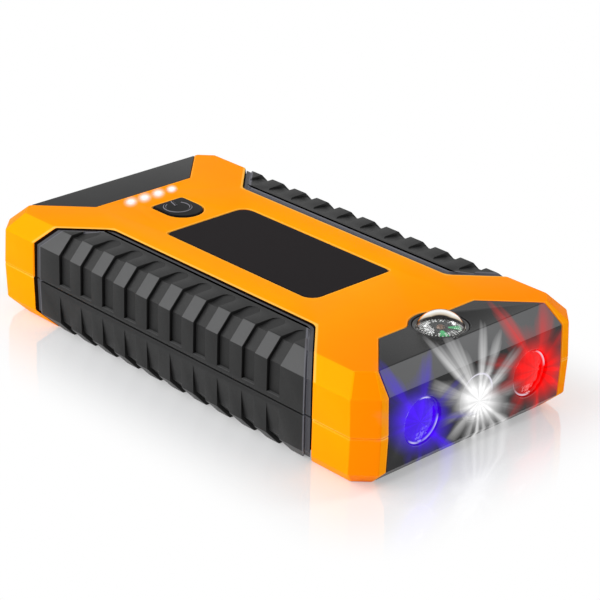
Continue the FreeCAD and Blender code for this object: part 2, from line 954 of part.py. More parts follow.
def make_key_board():
    """Small board with the switch and the charge lights."""
    under = key_board_top - key_board_thickness
    half = key_board_half_width
    board = block(key_board_low_x, key_board_high_x, -half, half, under, key_board_top)
    holes = []
    for x, y in key_board_corners():
        radius = key_board_screw_radius + screw_hole_clearance
        holes.append(rod(radius, (x, y, under - 1), (0, 0, 1), key_board_thickness + 2))
    return board.cut(holes)


def make_key_board_screws():
    """Four short screws that hang the key board from its bosses."""
    under = key_board_top - key_board_thickness
    screws = []
    for x, y in key_board_corners():
        length = key_board_thickness + key_board_screw_length
        shank = rod(key_board_screw_radius, (x, y, under), (0, 0, 1), length)
        low = under - key_board_screw_head_height
        head = rod(key_board_screw_head, (x, y, low), (0, 0, 1), key_board_screw_head_height)
        screws.append(shank.fuse(head))
    return Part.makeCompound(screws)


def make_indicator_leds():
    """Four small lights under the light pipe."""
    half = indicator_led_size / 2
    leds = []
    for y in indicator_positions():
        leds.append(block(indicator_x - half, indicator_x + half, y - half, y + half,
                          key_board_top, key_board_top + indicator_led_height))
    return Part.makeCompound(leds)


def make_light_pipe():
    """Clear bar with four studs that show through the case."""
    ceiling = body_top - shell_wall
    low = ceiling - light_bar_thickness
    spread = indicator_pitch * (indicator_count - 1) / 2 + light_bar_width / 2
    half = light_bar_width / 2
    pipe = block(indicator_x - half, indicator_x + half, -spread, spread, low, ceiling)
    leg_low = key_board_top + indicator_led_height + indicator_gap
    pieces = []
    for y in indicator_positions():
        pieces.append(rod(indicator_radius, (indicator_x, y, ceiling - 0.5), (0, 0, 1), shell_wall + 0.5))
        pieces.append(rod(light_leg_radius, (indicator_x, y, leg_low), (0, 0, 1), low - leg_low + 0.5))
    return pipe.fuse(pieces).removeSplitter()


def make_lens(y):
    """Clear stepped lens with a shallow crown."""
    back = lens_back()
    seat = back + lens_flange_thickness
    face = joint_half_length - lens_face_setback - lens_crown
    body = rod(lens_radius, (seat, y, joint_height), (1, 0, 0), face - seat)
    flange = rod(lens_flange_radius, (back, y, joint_height), (1, 0, 0), lens_flange_thickness)
    ball_radius = (lens_radius ** 2 + lens_crown ** 2) / (2 * lens_crown)
    ball = Part.makeSphere(ball_radius, V(face + lens_crown - ball_radius, y, joint_height))
    crown = ball.common(rod(lens_radius, (face, y, joint_height), (1, 0, 0), lens_crown + 1))
    return body.fuse([flange, crown]).removeSplitter()


def bowl_arc(extra):
    """Curve of the reflector bowl from its root to its mouth, moved outward by the extra."""
    root = V(reflector_back_radius + extra, 0, 0)
    mouth = V(reflector_mouth_radius + extra, 0, reflector_length)
    middle = V((root.x + mouth.x) / 2, 0, reflector_length / 4)
    return Part.Arc(root, middle, mouth).toShape()


def make_reflector(y):
    """Bowl shaped reflector between the lens and the lamp board."""
    inner = bowl_arc(0)
    outer = bowl_arc(reflector_wall)
    root = Part.makeLine(inner.Vertexes[0].Point, outer.Vertexes[0].Point)
    lip = Part.makeLine(inner.Vertexes[-1].Point, outer.Vertexes[-1].Point)
    face = Part.Face(Part.Wire(Part.__sortEdges__([inner, lip, outer, root])))
    bowl = face.revolve(V(0, 0, 0), V(0, 0, 1), 360)
    start = lens_back() - reflector_length
    bowl.Placement = FreeCAD.Placement(V(start, y, joint_height), FreeCAD.Rotation(V(0, 0, 1), V(1, 0, 0)))
    rim_start = lens_back() - reflector_flange
    rim = rod(lens_flange_radius, (rim_start, y, joint_height), (1, 0, 0), reflector_flange)
    mouth = rod(reflector_mouth_radius, (rim_start - 1, y, joint_height), (1, 0, 0), reflector_flange + 2)
    rim = rim.cut(mouth)
    return bowl.fuse(rim).removeSplitter()


def make_emitter(y):
    """Square light source at the root of a reflector."""
    half = emitter_size / 2
    start = lens_back() - reflector_length
    return block(start, start + emitter_height, y - half, y + half, joint_height - half, joint_height + half)


def make_lamp_board():
    """Upright board behind the three reflectors."""
    back = lamp_board_back()
    half = lamp_board_half_width
    low_z = joint_height - lamp_board_drop
    return block(back, back + lamp_board_thickness, -half, half, low_z, joint_height + lamp_board_rise)


def make_compass_cup():
    """Open cup that carries the compass card's pin."""
    low = compass_seat - cup_depth
    outer = rod(cup_radius, (compass_x, 0, low), (0, 0, 1), cup_depth)
    inner = rod(cup_radius - cup_wall, (compass_x, 0, low + cup_floor), (0, 0, 1), cup_depth)
    return outer.cut(inner)


def make_compass_ring():
    """Bezel ring around the foot of the dome."""
    low = compass_seat
    high = low + compass_ring_height
    bore = dome_radius + compass_ring_clearance
    bevel = compass_ring_bevel
    profile = [
        (bore, low),
        (compass_ring_radius, low),
        (compass_ring_radius, high - bevel),
        (compass_ring_radius - bevel, high),
        (bore, high),
    ]
    return turned(profile, (compass_x, 0, 0), (0, 0, 1))


def dome_solid(radius, side, rise):
    """Short round wall closed by part of a ball."""
    wall = rod(radius, (compass_x, 0, compass_seat), (0, 0, 1), side)
    ball_radius = (radius ** 2 + rise ** 2) / (2 * rise)
    centre = V(compass_x, 0, compass_seat + side + rise - ball_radius)
    cap = Part.makeSphere(ball_radius, centre)
    cap = cap.common(rod(radius, (compass_x, 0, compass_seat + side), (0, 0, 1), rise + 1))
    return wall.fuse(cap).removeSplitter()


def make_compass_dome():
    """Clear dome over the compass card."""
    outer = dome_solid(dome_radius, dome_side, dome_rise)
    inner = dome_solid(dome_radius - dome_wall, dome_side, dome_rise - dome_wall)
    return outer.cut(inner)


def make_compass_card():
    """Round card with the hub that turns on the pin."""
    top = compass_seat - card_drop
    card = rod(card_radius, (compass_x, 0, top - card_thickness), (0, 0, 1), card_thickness)
    hub_low = top - card_thickness - card_hub_length
    hub = rod(card_hub_radius, (compass_x, 0, hub_low), (0, 0, 1), card_hub_length + 0.1)
    socket = rod(pin_radius + pin_clearance, (compass_x, 0, hub_low - 1), (0, 0, 1), card_hub_length + 1)
    return card.fuse(hub).cut(socket)


def make_compass_magnets():
    """Two bar magnets under the card, one each side of the hub."""
    under = compass_seat - card_drop - card_thickness
    half = magnet_width / 2
    near = card_hub_radius + magnet_hub_gap
    low_xs = (compass_x + near, compass_x - near - magnet_length)
    bars = [block(x, x + magnet_length, -half, half, under - magnet_thickness, under) for x in low_xs]
    return Part.makeCompound(bars)


def make_compass_pin():
    """Upright pin with a pointed tip."""
    floor = compass_seat - cup_depth + cup_floor
    tip = compass_seat - card_drop - card_thickness - pin_clearance
    shoulder = floor + pin_foot_height
    profile = [
        (0, floor),
        (pin_foot_radius, floor),
        (pin_foot_radius, shoulder),
        (pin_radius, shoulder + pin_foot_radius - pin_radius),
        (pin_radius, tip - pin_point_length),
        (0, tip),
    ]
    return turned(profile, (compass_x, 0, 0), (0, 0, 1))


def make_main_board():
    """Board with a corner left out for the jump socket."""
    low_z = board_top - board_thickness
    half = board_half_width
    board = block(board_low_x, board_high_x, -half, half, low_z, board_top)
    corner_x, corner_y = board_corner()
    holes = [block(board_low_x - 1, corner_x, -half - 1, corner_y, low_z - 1, board_top + 1)]
    for x, y in corner_positions(case_screw_x, case_screw_y):
        radius = case_boss_radius + board_boss_clearance
        holes.append(rod(radius, (x, y, low_z - 1), (0, 0, 1), board_thickness + 2))
    for x, y in board_screw_places():
        radius = board_screw_radius + screw_hole_clearance
        holes.append(rod(radius, (x, y, low_z - 1), (0, 0, 1), board_thickness + 2))
    return board.cut(holes)


def make_board_screws():
    """Four screws that hold the main board on its posts."""
    screws = []
    low_z = board_top - board_screw_length
    for x, y in board_screw_places():
        shank = rod(board_screw_radius, (x, y, low_z), (0, 0, 1), board_screw_length)
        head = rod(board_screw_head, (x, y, board_top), (0, 0, 1), board_screw_head_height)
        screws.append(shank.fuse(head))
    return Part.makeCompound(screws)


def usb_face_x():
    """X of the mouth of the charging sockets."""
    return lens_face_setback - joint_half_length


def make_usb_shells():
    """Two sheet metal socket shells, open toward the panel."""
    shells = []
    low_x = usb_face_x()
    low_z = joint_height - usb_height / 2
    for y in usb_centres:
        half = usb_width / 2
        outer = block(low_x, low_x + usb_length, y - half, y + half, low_z, low_z + usb_height)
        inner = block(low_x - 1, low_x + usb_length + 1, y - half + usb_sheet, y + half - usb_sheet,
                      low_z + usb_sheet, low_z + usb_height - usb_sheet)
        shells.append(outer.cut(inner))
    return Part.makeCompound(shells)


def make_usb_tongues():
    """Plastic tongues and bases inside the charging sockets."""
    tongues = []
    low_x = usb_face_x()
    end = low_x + usb_length
    low_z = joint_height - usb_height / 2 + usb_sheet
    high_z = joint_height + usb_height / 2 - usb_sheet
    top = high_z - usb_tongue_drop
    wide = usb_tongue_width / 2
    for y in usb_centres:
        half = usb_width / 2 - usb_sheet
        base = block(end - usb_base_length, end, y - half, y + half, low_z, high_z)
        foot = block(end, end + usb_foot_length, y - half, y + half, board_top, high_z)
        tip = low_x + usb_tongue_setback
        tongue = block(tip, end - 1, y - wide, y + wide, top - usb_tongue_thickness, top)
        tongues.append(base.fuse([foot, tongue]).removeSplitter())
    return Part.makeCompound(tongues)


def make_charge_jack():
    """Round mains adapter socket on a square body."""
    half = jack_width / 2
    face = usb_face_x()
    start = board_low_x - jack_overhang
    top = joint_height + half - jack_cap_drop
    body = block(start, start + jack_length, jack_y - half, jack_y + half, board_top, top)
    nose = rod(jack_nose_radius, (face, jack_y, joint_height), (1, 0, 0), start - face + 1)
    bore = rod(jack_bore_radius, (face - 1, jack_y, joint_height), (1, 0, 0), jack_bore_depth + 1)
    return body.fuse(nose).cut(bore).removeSplitter()


def make_charge_pin():
    """Centre pin of the adapter socket."""
    start = usb_face_x() + jack_pin_setback
    return rod(jack_pin_radius, (start, jack_y, joint_height), (1, 0, 0), jack_bore_depth - jack_pin_setback)


def jump_bore_positions():
    """Centres of the two jump socket bores across the width."""
    return [jump_y - jump_bore_pitch / 2, jump_y + jump_bore_pitch / 2]


def make_jump_socket():
    """Socket block with two round bores for the jump lead plug."""
    face = socket_face_x()
    body = along_x(jump_outline(0), face, face + jump_length, jump_y, joint_height)
    bores = []
    for y in jump_bore_positions():
        bores.append(rod(jump_bore_radius, (face - 1, y, joint_height), (1, 0, 0), jump_length + 2))
    return body.cut(bores)


def make_jump_contacts():
    """Two tube contacts at the back of the jump socket's bores."""
    start = socket_face_x() + jump_mouth_depth
    length = jump_length - jump_mouth_depth + contact_overhang
    contacts = []
    for y in jump_bore_positions():
        tube = rod(jump_bore_radius, (start, y, joint_height), (1, 0, 0), length)
        bore = jump_bore_radius - contact_wall
        hollow = rod(bore, (start - 1, y, joint_height), (1, 0, 0), length - contact_end_wall + 1)
        contacts.append(tube.cut(hollow))
    return Part.makeCompound(contacts)


def make_socket_cover():
    """Hinged dust cover with its barrel, pins and inner rib."""
    axis_x, axis_z = cover_axis()
    half = cover_width / 2
    low_z = joint_height - cover_height / 2
    flap_points = [
        (-half, low_z, cover_corner),
        (half, low_z, cover_corner),
        (half, axis_z, 0),
        (-half, axis_z, 0),
    ]
    column = along_x(flap_points, -joint_half_length - 2, axis_x + 3, jump_y, 0)
    flap = column.common(case_block(0)).cut(case_block(cover_thickness))
    barrel = rod(cover_barrel_radius, (axis_x, jump_y - half, axis_z), (0, 1, 0), cover_width)
    reach_y = half + cover_pin_length
    pins = rod(cover_pin_radius, (axis_x, jump_y - reach_y, axis_z), (0, 1, 0), 2 * reach_y)
    rib_start = cover_thickness / 2 - joint_half_length
    rib_end = cover_thickness - joint_half_length + cover_rib
    rib = along_x(jump_outline(-cover_rib_inset), rib_start, rib_end, jump_y, joint_height)
    return flap.fuse([barrel, pins, rib]).removeSplitter()


def cell_heights():
    """Lower face of each cell in the stack, clear of the thick wall behind the grips."""
    first = backing_depth + cell_wall_clearance
    return [first + index * (cell_thickness + cell_gap) for index in range(cell_count)]


def make_cell(low_z):
    """One flat pouch cell with soft edges."""
    high_x = cell_low_x + cell_length
    cell = block(cell_low_x, high_x, -cell_half_width, cell_half_width, low_z, low_z + cell_thickness)
    long_edges = [edge for edge in cell.Edges if abs(edge.BoundBox.XLength - cell_length) < 0.01]
    return cell.makeFillet(cell_edge_round, long_edges)


def stack_top():
    """Upper face of the cell stack."""
    return cell_heights()[-1] + cell_thickness


def make_foam(low_z, high_z):
    """Foam sheet that keeps the cells from rattling, between the walls behind the grips."""
    low_x = cell_low_x + foam_end_inset
    high_x = cell_low_x + cell_length - foam_end_inset
    half = grip_inner_line - backing_wall - cell_clearance
    return block(low_x, high_x, -half, half, low_z, high_z)


def make_cell_tabs():
    """Thin metal tabs that leave the end of each cell."""
    tabs = []
    half = tab_width / 2
    for low_z in cell_heights():
        middle = low_z + cell_thickness / 2
        for y in (-tab_y, tab_y):
            tabs.append(block(cell_low_x - tab_length, cell_low_x, y - half, y + half,
                              middle - tab_thickness / 2, middle + tab_thickness / 2))
    return Part.makeCompound(tabs)


def make_bus_bar(y, contact_y, setback):
    """Copper strip from the cell tabs to one contact of the jump socket."""
    plate_x = cell_low_x - tab_length - bus_thickness
    half = bus_width / 2
    half_strip = bus_strip_width / 2
    heights = cell_heights()
    low_z = heights[0] + cell_thickness / 2 - bus_plate_margin
    high_z = heights[-1] + cell_thickness / 2 + bus_plate_margin
    plate = block(plate_x, plate_x + bus_thickness, y - half, y + half, low_z, high_z)
    strip_top = joint_height + jump_bore_radius - contact_wall
    strip_low = strip_top - bus_thickness
    start = socket_face_x() + jump_length + contact_overhang
    cross_x = plate_x - setback
    low_y = min(contact_y, y) - half_strip
    high_y = max(contact_y, y) + half_strip
    tail = block(start, cross_x, contact_y - half_strip, contact_y + half_strip, strip_low, strip_top)
    cross = block(cross_x - bus_strip_width, cross_x, low_y, high_y, strip_low, strip_top)
    pieces = [tail, cross]
    if setback > 0:
        pieces.append(block(cross_x, plate_x, y - half_strip, y + half_strip, strip_low, strip_top))
    return plate.fuse(pieces).removeSplitter()


def make_inductor():
    """Shielded power coil on the main board."""
    x = board_high_x - inductor_setback
    half = inductor_size / 2
    top = board_top + inductor_height
    core = block(x - half, x + half, inductor_y - half, inductor_y + half, board_top, top)
    upright = [edge for edge in core.Edges if edge.BoundBox.ZLength > inductor_height / 2]
    return core.makeFillet(inductor_round, upright)


def make_capacitors():
    """Two round capacitors on the main board."""
    x = board_low_x + capacitor_end_setback
    cans = []
    for side in (-1, 1):
        y = capacitor_y + side * capacitor_pitch / 2
        cans.append(rod(capacitor_radius, (x, y, board_top), (0, 0, 1), capacitor_height))
    return Part.makeCompound(cans)


def make_power_transistors():
    """Two by two flat power transistors on the main board."""
    half_length = transistor_length / 2
    half_width = transistor_width / 2
    chips = []
    for column in (0, 1):
        x = board_low_x + transistor_end_setback + column * transistor_pitch_x + half_length
        for side in (-1, 1):
            y = transistor_y + side * transistor_pitch_y / 2
            chips.append(block(x - half_length, x + half_length, y - half_width, y + half_width,
                               board_top, board_top + transistor_height))
    return Part.makeCompound(chips)


def make_control_chip():
    """Square control chip on the main board."""
    x = board_high_x - chip_setback
    half = chip_size / 2
    return block(x - half, x + half, chip_y - half, chip_y + half, board_top, board_top + chip_height)


def make_case_screws():
    """Four cross slotted screws that come up through the lower half."""
    seat = case_screw_recess + case_screw_head_height
    long = case_screw_slot_length / 2
    wide = case_screw_slot_width / 2
    slot_top = case_screw_recess + case_screw_slot_depth
    screws = []
    for x, y in corner_positions(case_screw_x, case_screw_y):
        head = rod(case_screw_head_radius, (x, y, case_screw_recess), (0, 0, 1), case_screw_head_height)
        shank = rod(case_screw_radius, (x, y, seat), (0, 0, 1), joint_height - seat + case_screw_grip)
        slots = [
            block(x - long, x + long, y - wide, y + wide, case_screw_recess - 1, slot_top),
            block(x - wide, x + wide, y - long, y + long, case_screw_recess - 1, slot_top),
        ]
        screws.append(head.fuse(shank).cut(slots))
    return Part.makeCompound(screws)


def build_parts():
    """All sub-parts by name."""
    cells = cell_heights()
    lamps = lamp_positions()
    contacts = jump_bore_positions()
    ceiling = body_top - shell_wall
    parts = {
        "upper_shell": make_upper_shell(),
        "lower_shell": make_lower_shell(),
        "near_grip_upper": make_grip(-1, True),
        "near_grip_lower": make_grip(-1, False),
        "far_grip_upper": make_grip(1, True),
        "far_grip_lower": make_grip(1, False),
        "lamp_panel": make_lamp_panel(),
        "port_panel": make_port_panel(),
        "name_plate": make_name_plate(),
        "power_key": make_power_key(),
        "switch_body": make_switch_body(),
        "switch_plunger": make_switch_plunger(),
        "key_board": make_key_board(),
        "key_board_screws": make_key_board_screws(),
        "indicator_leds": make_indicator_leds(),
        "light_pipe": make_light_pipe(),
        "lamp_board": make_lamp_board(),
        "compass_cup": make_compass_cup(),
        "compass_ring": make_compass_ring(),
        "compass_dome": make_compass_dome(),
        "compass_card": make_compass_card(),
        "compass_magnets": make_compass_magnets(),
        "compass_pin": make_compass_pin(),
        "main_board": make_main_board(),
        "board_screws": make_board_screws(),
        "usb_shells": make_usb_shells(),
        "usb_tongues": make_usb_tongues(),
        "charge_jack": make_charge_jack(),
        "charge_pin": make_charge_pin(),
        "jump_socket": make_jump_socket(),
        "jump_contacts": make_jump_contacts(),
        "socket_cover": make_socket_cover(),
        "lower_cell": make_cell(cells[0]),
        "middle_cell": make_cell(cells[1]),
        "upper_cell": make_cell(cells[2]),
        "lower_foam": make_foam(shell_wall, cells[0]),
        "upper_foam": make_foam(stack_top(), ceiling),
        "cell_tabs": make_cell_tabs(),
        "negative_bus_bar": make_bus_bar(-tab_y, contacts[0], 0),
        "positive_bus_bar": make_bus_bar(tab_y, contacts[1], bus_cross_setback),
        "inductor": make_inductor(),
        "capacitors": make_capacitors(),
        "power_transistors": make_power_transistors(),
        "control_chip": make_control_chip(),
        "case_screws": make_case_screws(),
    }
    for name, y in zip(("near", "middle", "far"), lamps):
        parts[name + "_lens"] = make_lens(y)
        parts[name + "_reflector"] = make_reflector(y)
        parts[name + "_emitter"] = make_emitter(y)
    return parts


os.makedirs("parts", exist_ok=True)
for node, shape in build_parts().items():
    shape.exportStep("parts/" + node + ".step")
    solids = len(shape.Solids)
    print(node, solids, "solid" if solids == 1 else "solids", "valid" if shape.isValid() else "INVALID",
          round(shape.Volume / 1000, 3))
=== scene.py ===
import math

import bmesh
import bpy
from mathutils import Matrix, Vector


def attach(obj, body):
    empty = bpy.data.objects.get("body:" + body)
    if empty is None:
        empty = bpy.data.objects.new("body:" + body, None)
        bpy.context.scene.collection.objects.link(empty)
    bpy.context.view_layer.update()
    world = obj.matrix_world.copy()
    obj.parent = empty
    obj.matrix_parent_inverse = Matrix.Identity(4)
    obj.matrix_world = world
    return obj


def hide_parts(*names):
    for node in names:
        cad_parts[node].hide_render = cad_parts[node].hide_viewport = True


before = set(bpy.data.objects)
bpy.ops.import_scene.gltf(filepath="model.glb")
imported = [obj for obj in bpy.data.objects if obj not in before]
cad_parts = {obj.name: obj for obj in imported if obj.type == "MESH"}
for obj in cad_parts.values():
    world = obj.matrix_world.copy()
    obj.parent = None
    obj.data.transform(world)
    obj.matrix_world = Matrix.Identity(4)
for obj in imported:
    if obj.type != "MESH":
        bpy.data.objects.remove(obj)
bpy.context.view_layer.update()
mm = 0.001

# The view and the studio: a camera low over the lamp corner, a white table
# with a soft mirror sheen, one broad lamp from the near left, and three small
# ones for the facets, the far corner and the lamp end.
lens_length = 131.41
sensor_width = 36.0
view_turn = math.radians(46.33)
view_height = math.radians(24.619)
view_roll = math.radians(1.276)
view_distance = 695.63
view_shift_right = 7.911
view_shift_up = 12.322
view_centre_height = 4.7


def linear(code):
    """Linear colour of an sRGB hex code."""
    channels = [int(code[start:start + 2], 16) / 255 for start in (1, 3, 5)]
    steps = [c / 12.92 if c <= 0.04045 else ((c + 0.055) / 1.055) ** 2.4 for c in channels]
    return (*steps, 1.0)


def plug(node, inputs):
    """Fills or links the sockets of a node.

    A node given as a value links by its first live output, and an sRGB hex
    code becomes a linear colour.
    """
    for name, value in inputs.items() if isinstance(inputs, dict) else enumerate(inputs):
        socket = node.inputs[name]
        if isinstance(value, bpy.types.Node):
            value = next(output for output in value.outputs if output.enabled)
        if isinstance(value, bpy.types.NodeSocket):
            node.id_data.links.new(value, socket)
        elif isinstance(value, str):
            socket.default_value = linear(value)[:len(socket.default_value)]
        else:
            socket.default_value = value


def add(tree, kind, inputs=(), **settings):
    """Adds a node with its settings and its links."""
    new = tree.nodes.new(kind)
    for name, value in settings.items():
        setattr(new, name, value)
    plug(new, inputs)
    return new


def link_in(obj):
    """Puts a new object into the scene."""
    bpy.context.scene.collection.objects.link(obj)
    return obj


toward_camera = Vector((
    math.sin(view_turn) * math.cos(view_height),
    -math.cos(view_turn) * math.cos(view_height),
    math.sin(view_height),
))
level_right = Vector((math.cos(view_turn), math.sin(view_turn), 0.0))
level_up = toward_camera.cross(level_right)
camera_right = math.cos(view_roll) * level_right + math.sin(view_roll) * level_up
camera_up = math.cos(view_roll) * level_up - math.sin(view_roll) * level_right
camera_place = toward_camera * view_distance + camera_right * view_shift_right + camera_up * view_shift_up
camera_place.z += view_centre_height

camera_data = bpy.data.cameras.new("camera")
camera_data.lens = lens_length
camera_data.sensor_width = sensor_width
camera_data.clip_end = 50.0
camera = link_in(bpy.data.objects.new("camera", camera_data))
camera_turn = Matrix((camera_right, camera_up, toward_camera)).transposed().to_4x4()
camera.matrix_world = Matrix.Translation(camera_place * mm) @ camera_turn
bpy.context.scene.camera = camera


def plainly_seen(tree):
    """1 on rays that show a surface, straight or mirrored, and 0 on rays that light another."""
    ray = add(tree, "ShaderNodeLightPath").outputs
    direct = add(tree, "ShaderNodeMath", (ray["Is Camera Ray"], ray["Is Glossy Ray"]), operation="MAXIMUM")
    return add(tree, "ShaderNodeMath", (direct, ray["Is Transmission Ray"]), operation="MAXIMUM")


# White where the backdrop is seen, a dimmer bluish white where it lights.
world = bpy.data.worlds.new("studio")
world.use_nodes = True
bpy.context.scene.world = world
tree = world.node_tree
sky = add(tree, "ShaderNodeBackground", {"Color": "#F2F5FA", "Strength": 0.55})
white = add(tree, "ShaderNodeBackground", {"Color": "#FFFFFF", "Strength": 1.0})
mixed = add(tree, "ShaderNodeMixShader", (plainly_seen(tree), sky, white))
plug(tree.nodes["World Output"], {"Surface": mixed})


def new_material(name):
    """A new material, its tree, its shader and the place of its surface points."""
    material = bpy.data.materials.new(name)
    material.use_nodes = True
    tree = material.node_tree
    place = add(tree, "ShaderNodeTexCoord").outputs["Object"]
    return material, tree, tree.nodes["Principled BSDF"], place


# Polished acrylic sheet: it mirrors the pack softly, and it is lifted to the
# white of the backdrop but for a shade under and round the case.
case_half_length, case_half_width, case_middle = 86.6, 46.0, 17.5
floor_half = 4.0
floor_level = -0.05 * mm
shade_width = 34.0
floor_mesh = bpy.data.meshes.new("floor")
corners = [(x * floor_half, y * floor_half, floor_level) for x, y in ((-1, -1), (1, -1), (1, 1), (-1, 1))]
floor_mesh.from_pydata(corners, [], [(0, 1, 2, 3)])
floor = link_in(bpy.data.objects.new("floor", floor_mesh))
table_top, tree, shader, place = new_material("white_acrylic_table")
haze = add(tree, "ShaderNodeTexNoise", {"Vector": place, "Scale": 0.04 / mm, "Detail": 3.0})
plug(shader, {
    "Base Color": "#F8F8F8",
    "IOR": 2.9,
    "Roughness": add(tree, "ShaderNodeMapRange", {"Value": haze, "To Min": 0.02, "To Max": 0.05}),
})
mirrored = add(tree, "ShaderNodeVectorMath", (place,), operation="ABSOLUTE")
case_corner = (case_half_length * mm, case_half_width * mm, 0.0)
beyond = add(tree, "ShaderNodeVectorMath", (mirrored, case_corner), operation="SUBTRACT")
outside = add(tree, "ShaderNodeVectorMath", (beyond, (0.0, 0.0, 0.0)), operation="MAXIMUM")
from_case = add(tree, "ShaderNodeVectorMath", (outside,), operation="LENGTH")
open_table = add(tree, "ShaderNodeMapRange", {
    "Value": from_case, "From Max": shade_width * mm, "To Min": 0.33, "To Max": 1.0,
}, interpolation_type="SMOOTHSTEP")
lift = add(tree, "ShaderNodeMath", (plainly_seen(tree), open_table), operation="MULTIPLY")
glow = add(tree, "ShaderNodeEmission", {"Color": "#FFFFFF", "Strength": 1.0})
mixed = add(tree, "ShaderNodeMixShader", (lift, shader, glow))
plug(tree.nodes["Material Output"], {"Surface": mixed})
floor_mesh.materials.append(table_top)

for name, place, width, power in (
    ("near_left_lamp", (-0.3, -1.1, 0.7), 0.9, 12.5),
    ("facet_lamp", (-0.72, -0.5, 0.65), 0.35, 2.5),
    ("far_corner_lamp", (0.42, 0.68, 0.74), 0.25, 2.6),
    ("lamp_end_lamp", (1.1, 0.1, 0.5), 0.6, 1.5),
):
    lamp_data = bpy.data.lights.new(name, "AREA")
    lamp_data.size = width
    lamp_data.energy = power
    lamp = link_in(bpy.data.objects.new(name, lamp_data))
    away = Vector(place)
    lamp.matrix_world = Matrix.Translation(away) @ away.to_track_quat("Z", "Y").to_matrix().to_4x4()
bpy.context.scene.view_settings.view_transform = "Standard"

# The two case halves: injection moulded ABS, orange right through, with a
# fine spark-eroded grain. They meet at mid height and are screwed together
# from below, with shallow seats moulded in for the grips and end panels.
wall_height, bevel_height = 11.8, 5.7
corner_reach = 126.4
skin_tolerance = 0.3
case_skin_planes = [((0.0, 0.0, 1.0), wall_height + bevel_height)]
for along, across, reach, draft, bevel_run in (
    (1.0, 0.0, case_half_length, 0.55, 6.05),
    (0.0, 1.0, case_half_width, 0.2, 5.3),
    (1.0, 1.0, corner_reach, 0.75, 9.45),
):
    bevel_reach = bevel_height * (reach - draft) + bevel_run * wall_height
    case_skin_planes += [
        ((wall_height * along, wall_height * across, draft), wall_height * reach),
        ((bevel_height * along, bevel_height * across, bevel_run), bevel_reach),
    ]


def skin_depth(point):
    """How far a point, in mm, lies under the outer faces of the case."""
    mirrored = Vector((abs(point.x), abs(point.y), abs(point.z - case_middle)))
    return min((reach - mirrored.dot(Vector(way))) / Vector(way).length for way, reach in case_skin_planes)


def case_edge_share(point):
    """Outer edges are rounded, edges of bosses and seats inside aren't."""
    return 1.0 if skin_depth(point) < skin_tolerance else 0.0


def rounded_copy(name, node_name, width, steps, share_of):
    """A merged copy of a CAD node with its chosen edges rounded.

    The share, 0 to 1, says how much of the width an edge takes at a point.
    """
    shape = bmesh.new()
    shape.from_mesh(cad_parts[node_name].data)
    bmesh.ops.remove_doubles(shape, verts=shape.verts, dist=0.002 * mm)
    bmesh.ops.dissolve_limit(shape, angle_limit=math.radians(0.3), verts=shape.verts, edges=shape.edges)
    shares = shape.edges.layers.float.new("bevel_weight_edge")
    for edge in shape.edges:
        if len(edge.link_faces) == 2 and edge.calc_face_angle_signed() > math.radians(18):
            edge[shares] = share_of((edge.verts[0].co + edge.verts[1].co) / 2 / mm)
    draft_mesh = bpy.data.meshes.new(name + "_draft")
    shape.to_mesh(draft_mesh)
    shape.free()
    draft = link_in(bpy.data.objects.new(name + "_draft", draft_mesh))
    rounding = draft.modifiers.new("rounding", "BEVEL")
    rounding.limit_method = "WEIGHT"
    rounding.width = width * mm
    rounding.segments = steps
    rounding.use_clamp_overlap = False
    rounding.loop_slide = False
    return baked(name, draft)


def baked(name, draft):
    """Turns an object with modifiers into a plain mesh object at the origin."""
    graph = bpy.context.evaluated_depsgraph_get()
    mesh = bpy.data.meshes.new_from_object(draft.evaluated_get(graph))
    old_mesh = draft.data
    bpy.data.objects.remove(draft)
    bpy.data.meshes.remove(old_mesh)
    mesh.name = name
    return finished(name, mesh)


def finished(name, mesh, sharp_angle=28.0):
    """Object for a mesh, smooth but for its sharp edges."""
    for old in [a.name for a in mesh.attributes if a.name in ("custom_normal", "bevel_weight_edge")]:
        mesh.attributes.remove(mesh.attributes[old])
    mesh.polygons.foreach_set("use_smooth", [True] * len(mesh.polygons))
    mesh.set_sharp_from_angle(angle=math.radians(sharp_angle))
    return link_in(bpy.data.objects.new(name, mesh))


def mark_faces(obj, name, value_of):
    """Stores a number on each face of a piece, from its normal and its centre in mm."""
    marks = obj.data.attributes.new(name, "FLOAT", "FACE")
    for face, mark in zip(obj.data.polygons, marks.data):
        mark.value = value_of(face.normal, face.center / mm)


def fit(obj, material, body, slot, *nodes):
    """Gives a piece one material, if any, lets it ride on its body and stand for its CAD nodes."""
    if material:
        obj.data.materials.clear()
        obj.data.materials.append(material)
        obj.data.polygons.foreach_set("material_index", [0] * len(obj.data.polygons))
    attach(obj, body)
    if nodes:
        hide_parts(*nodes)


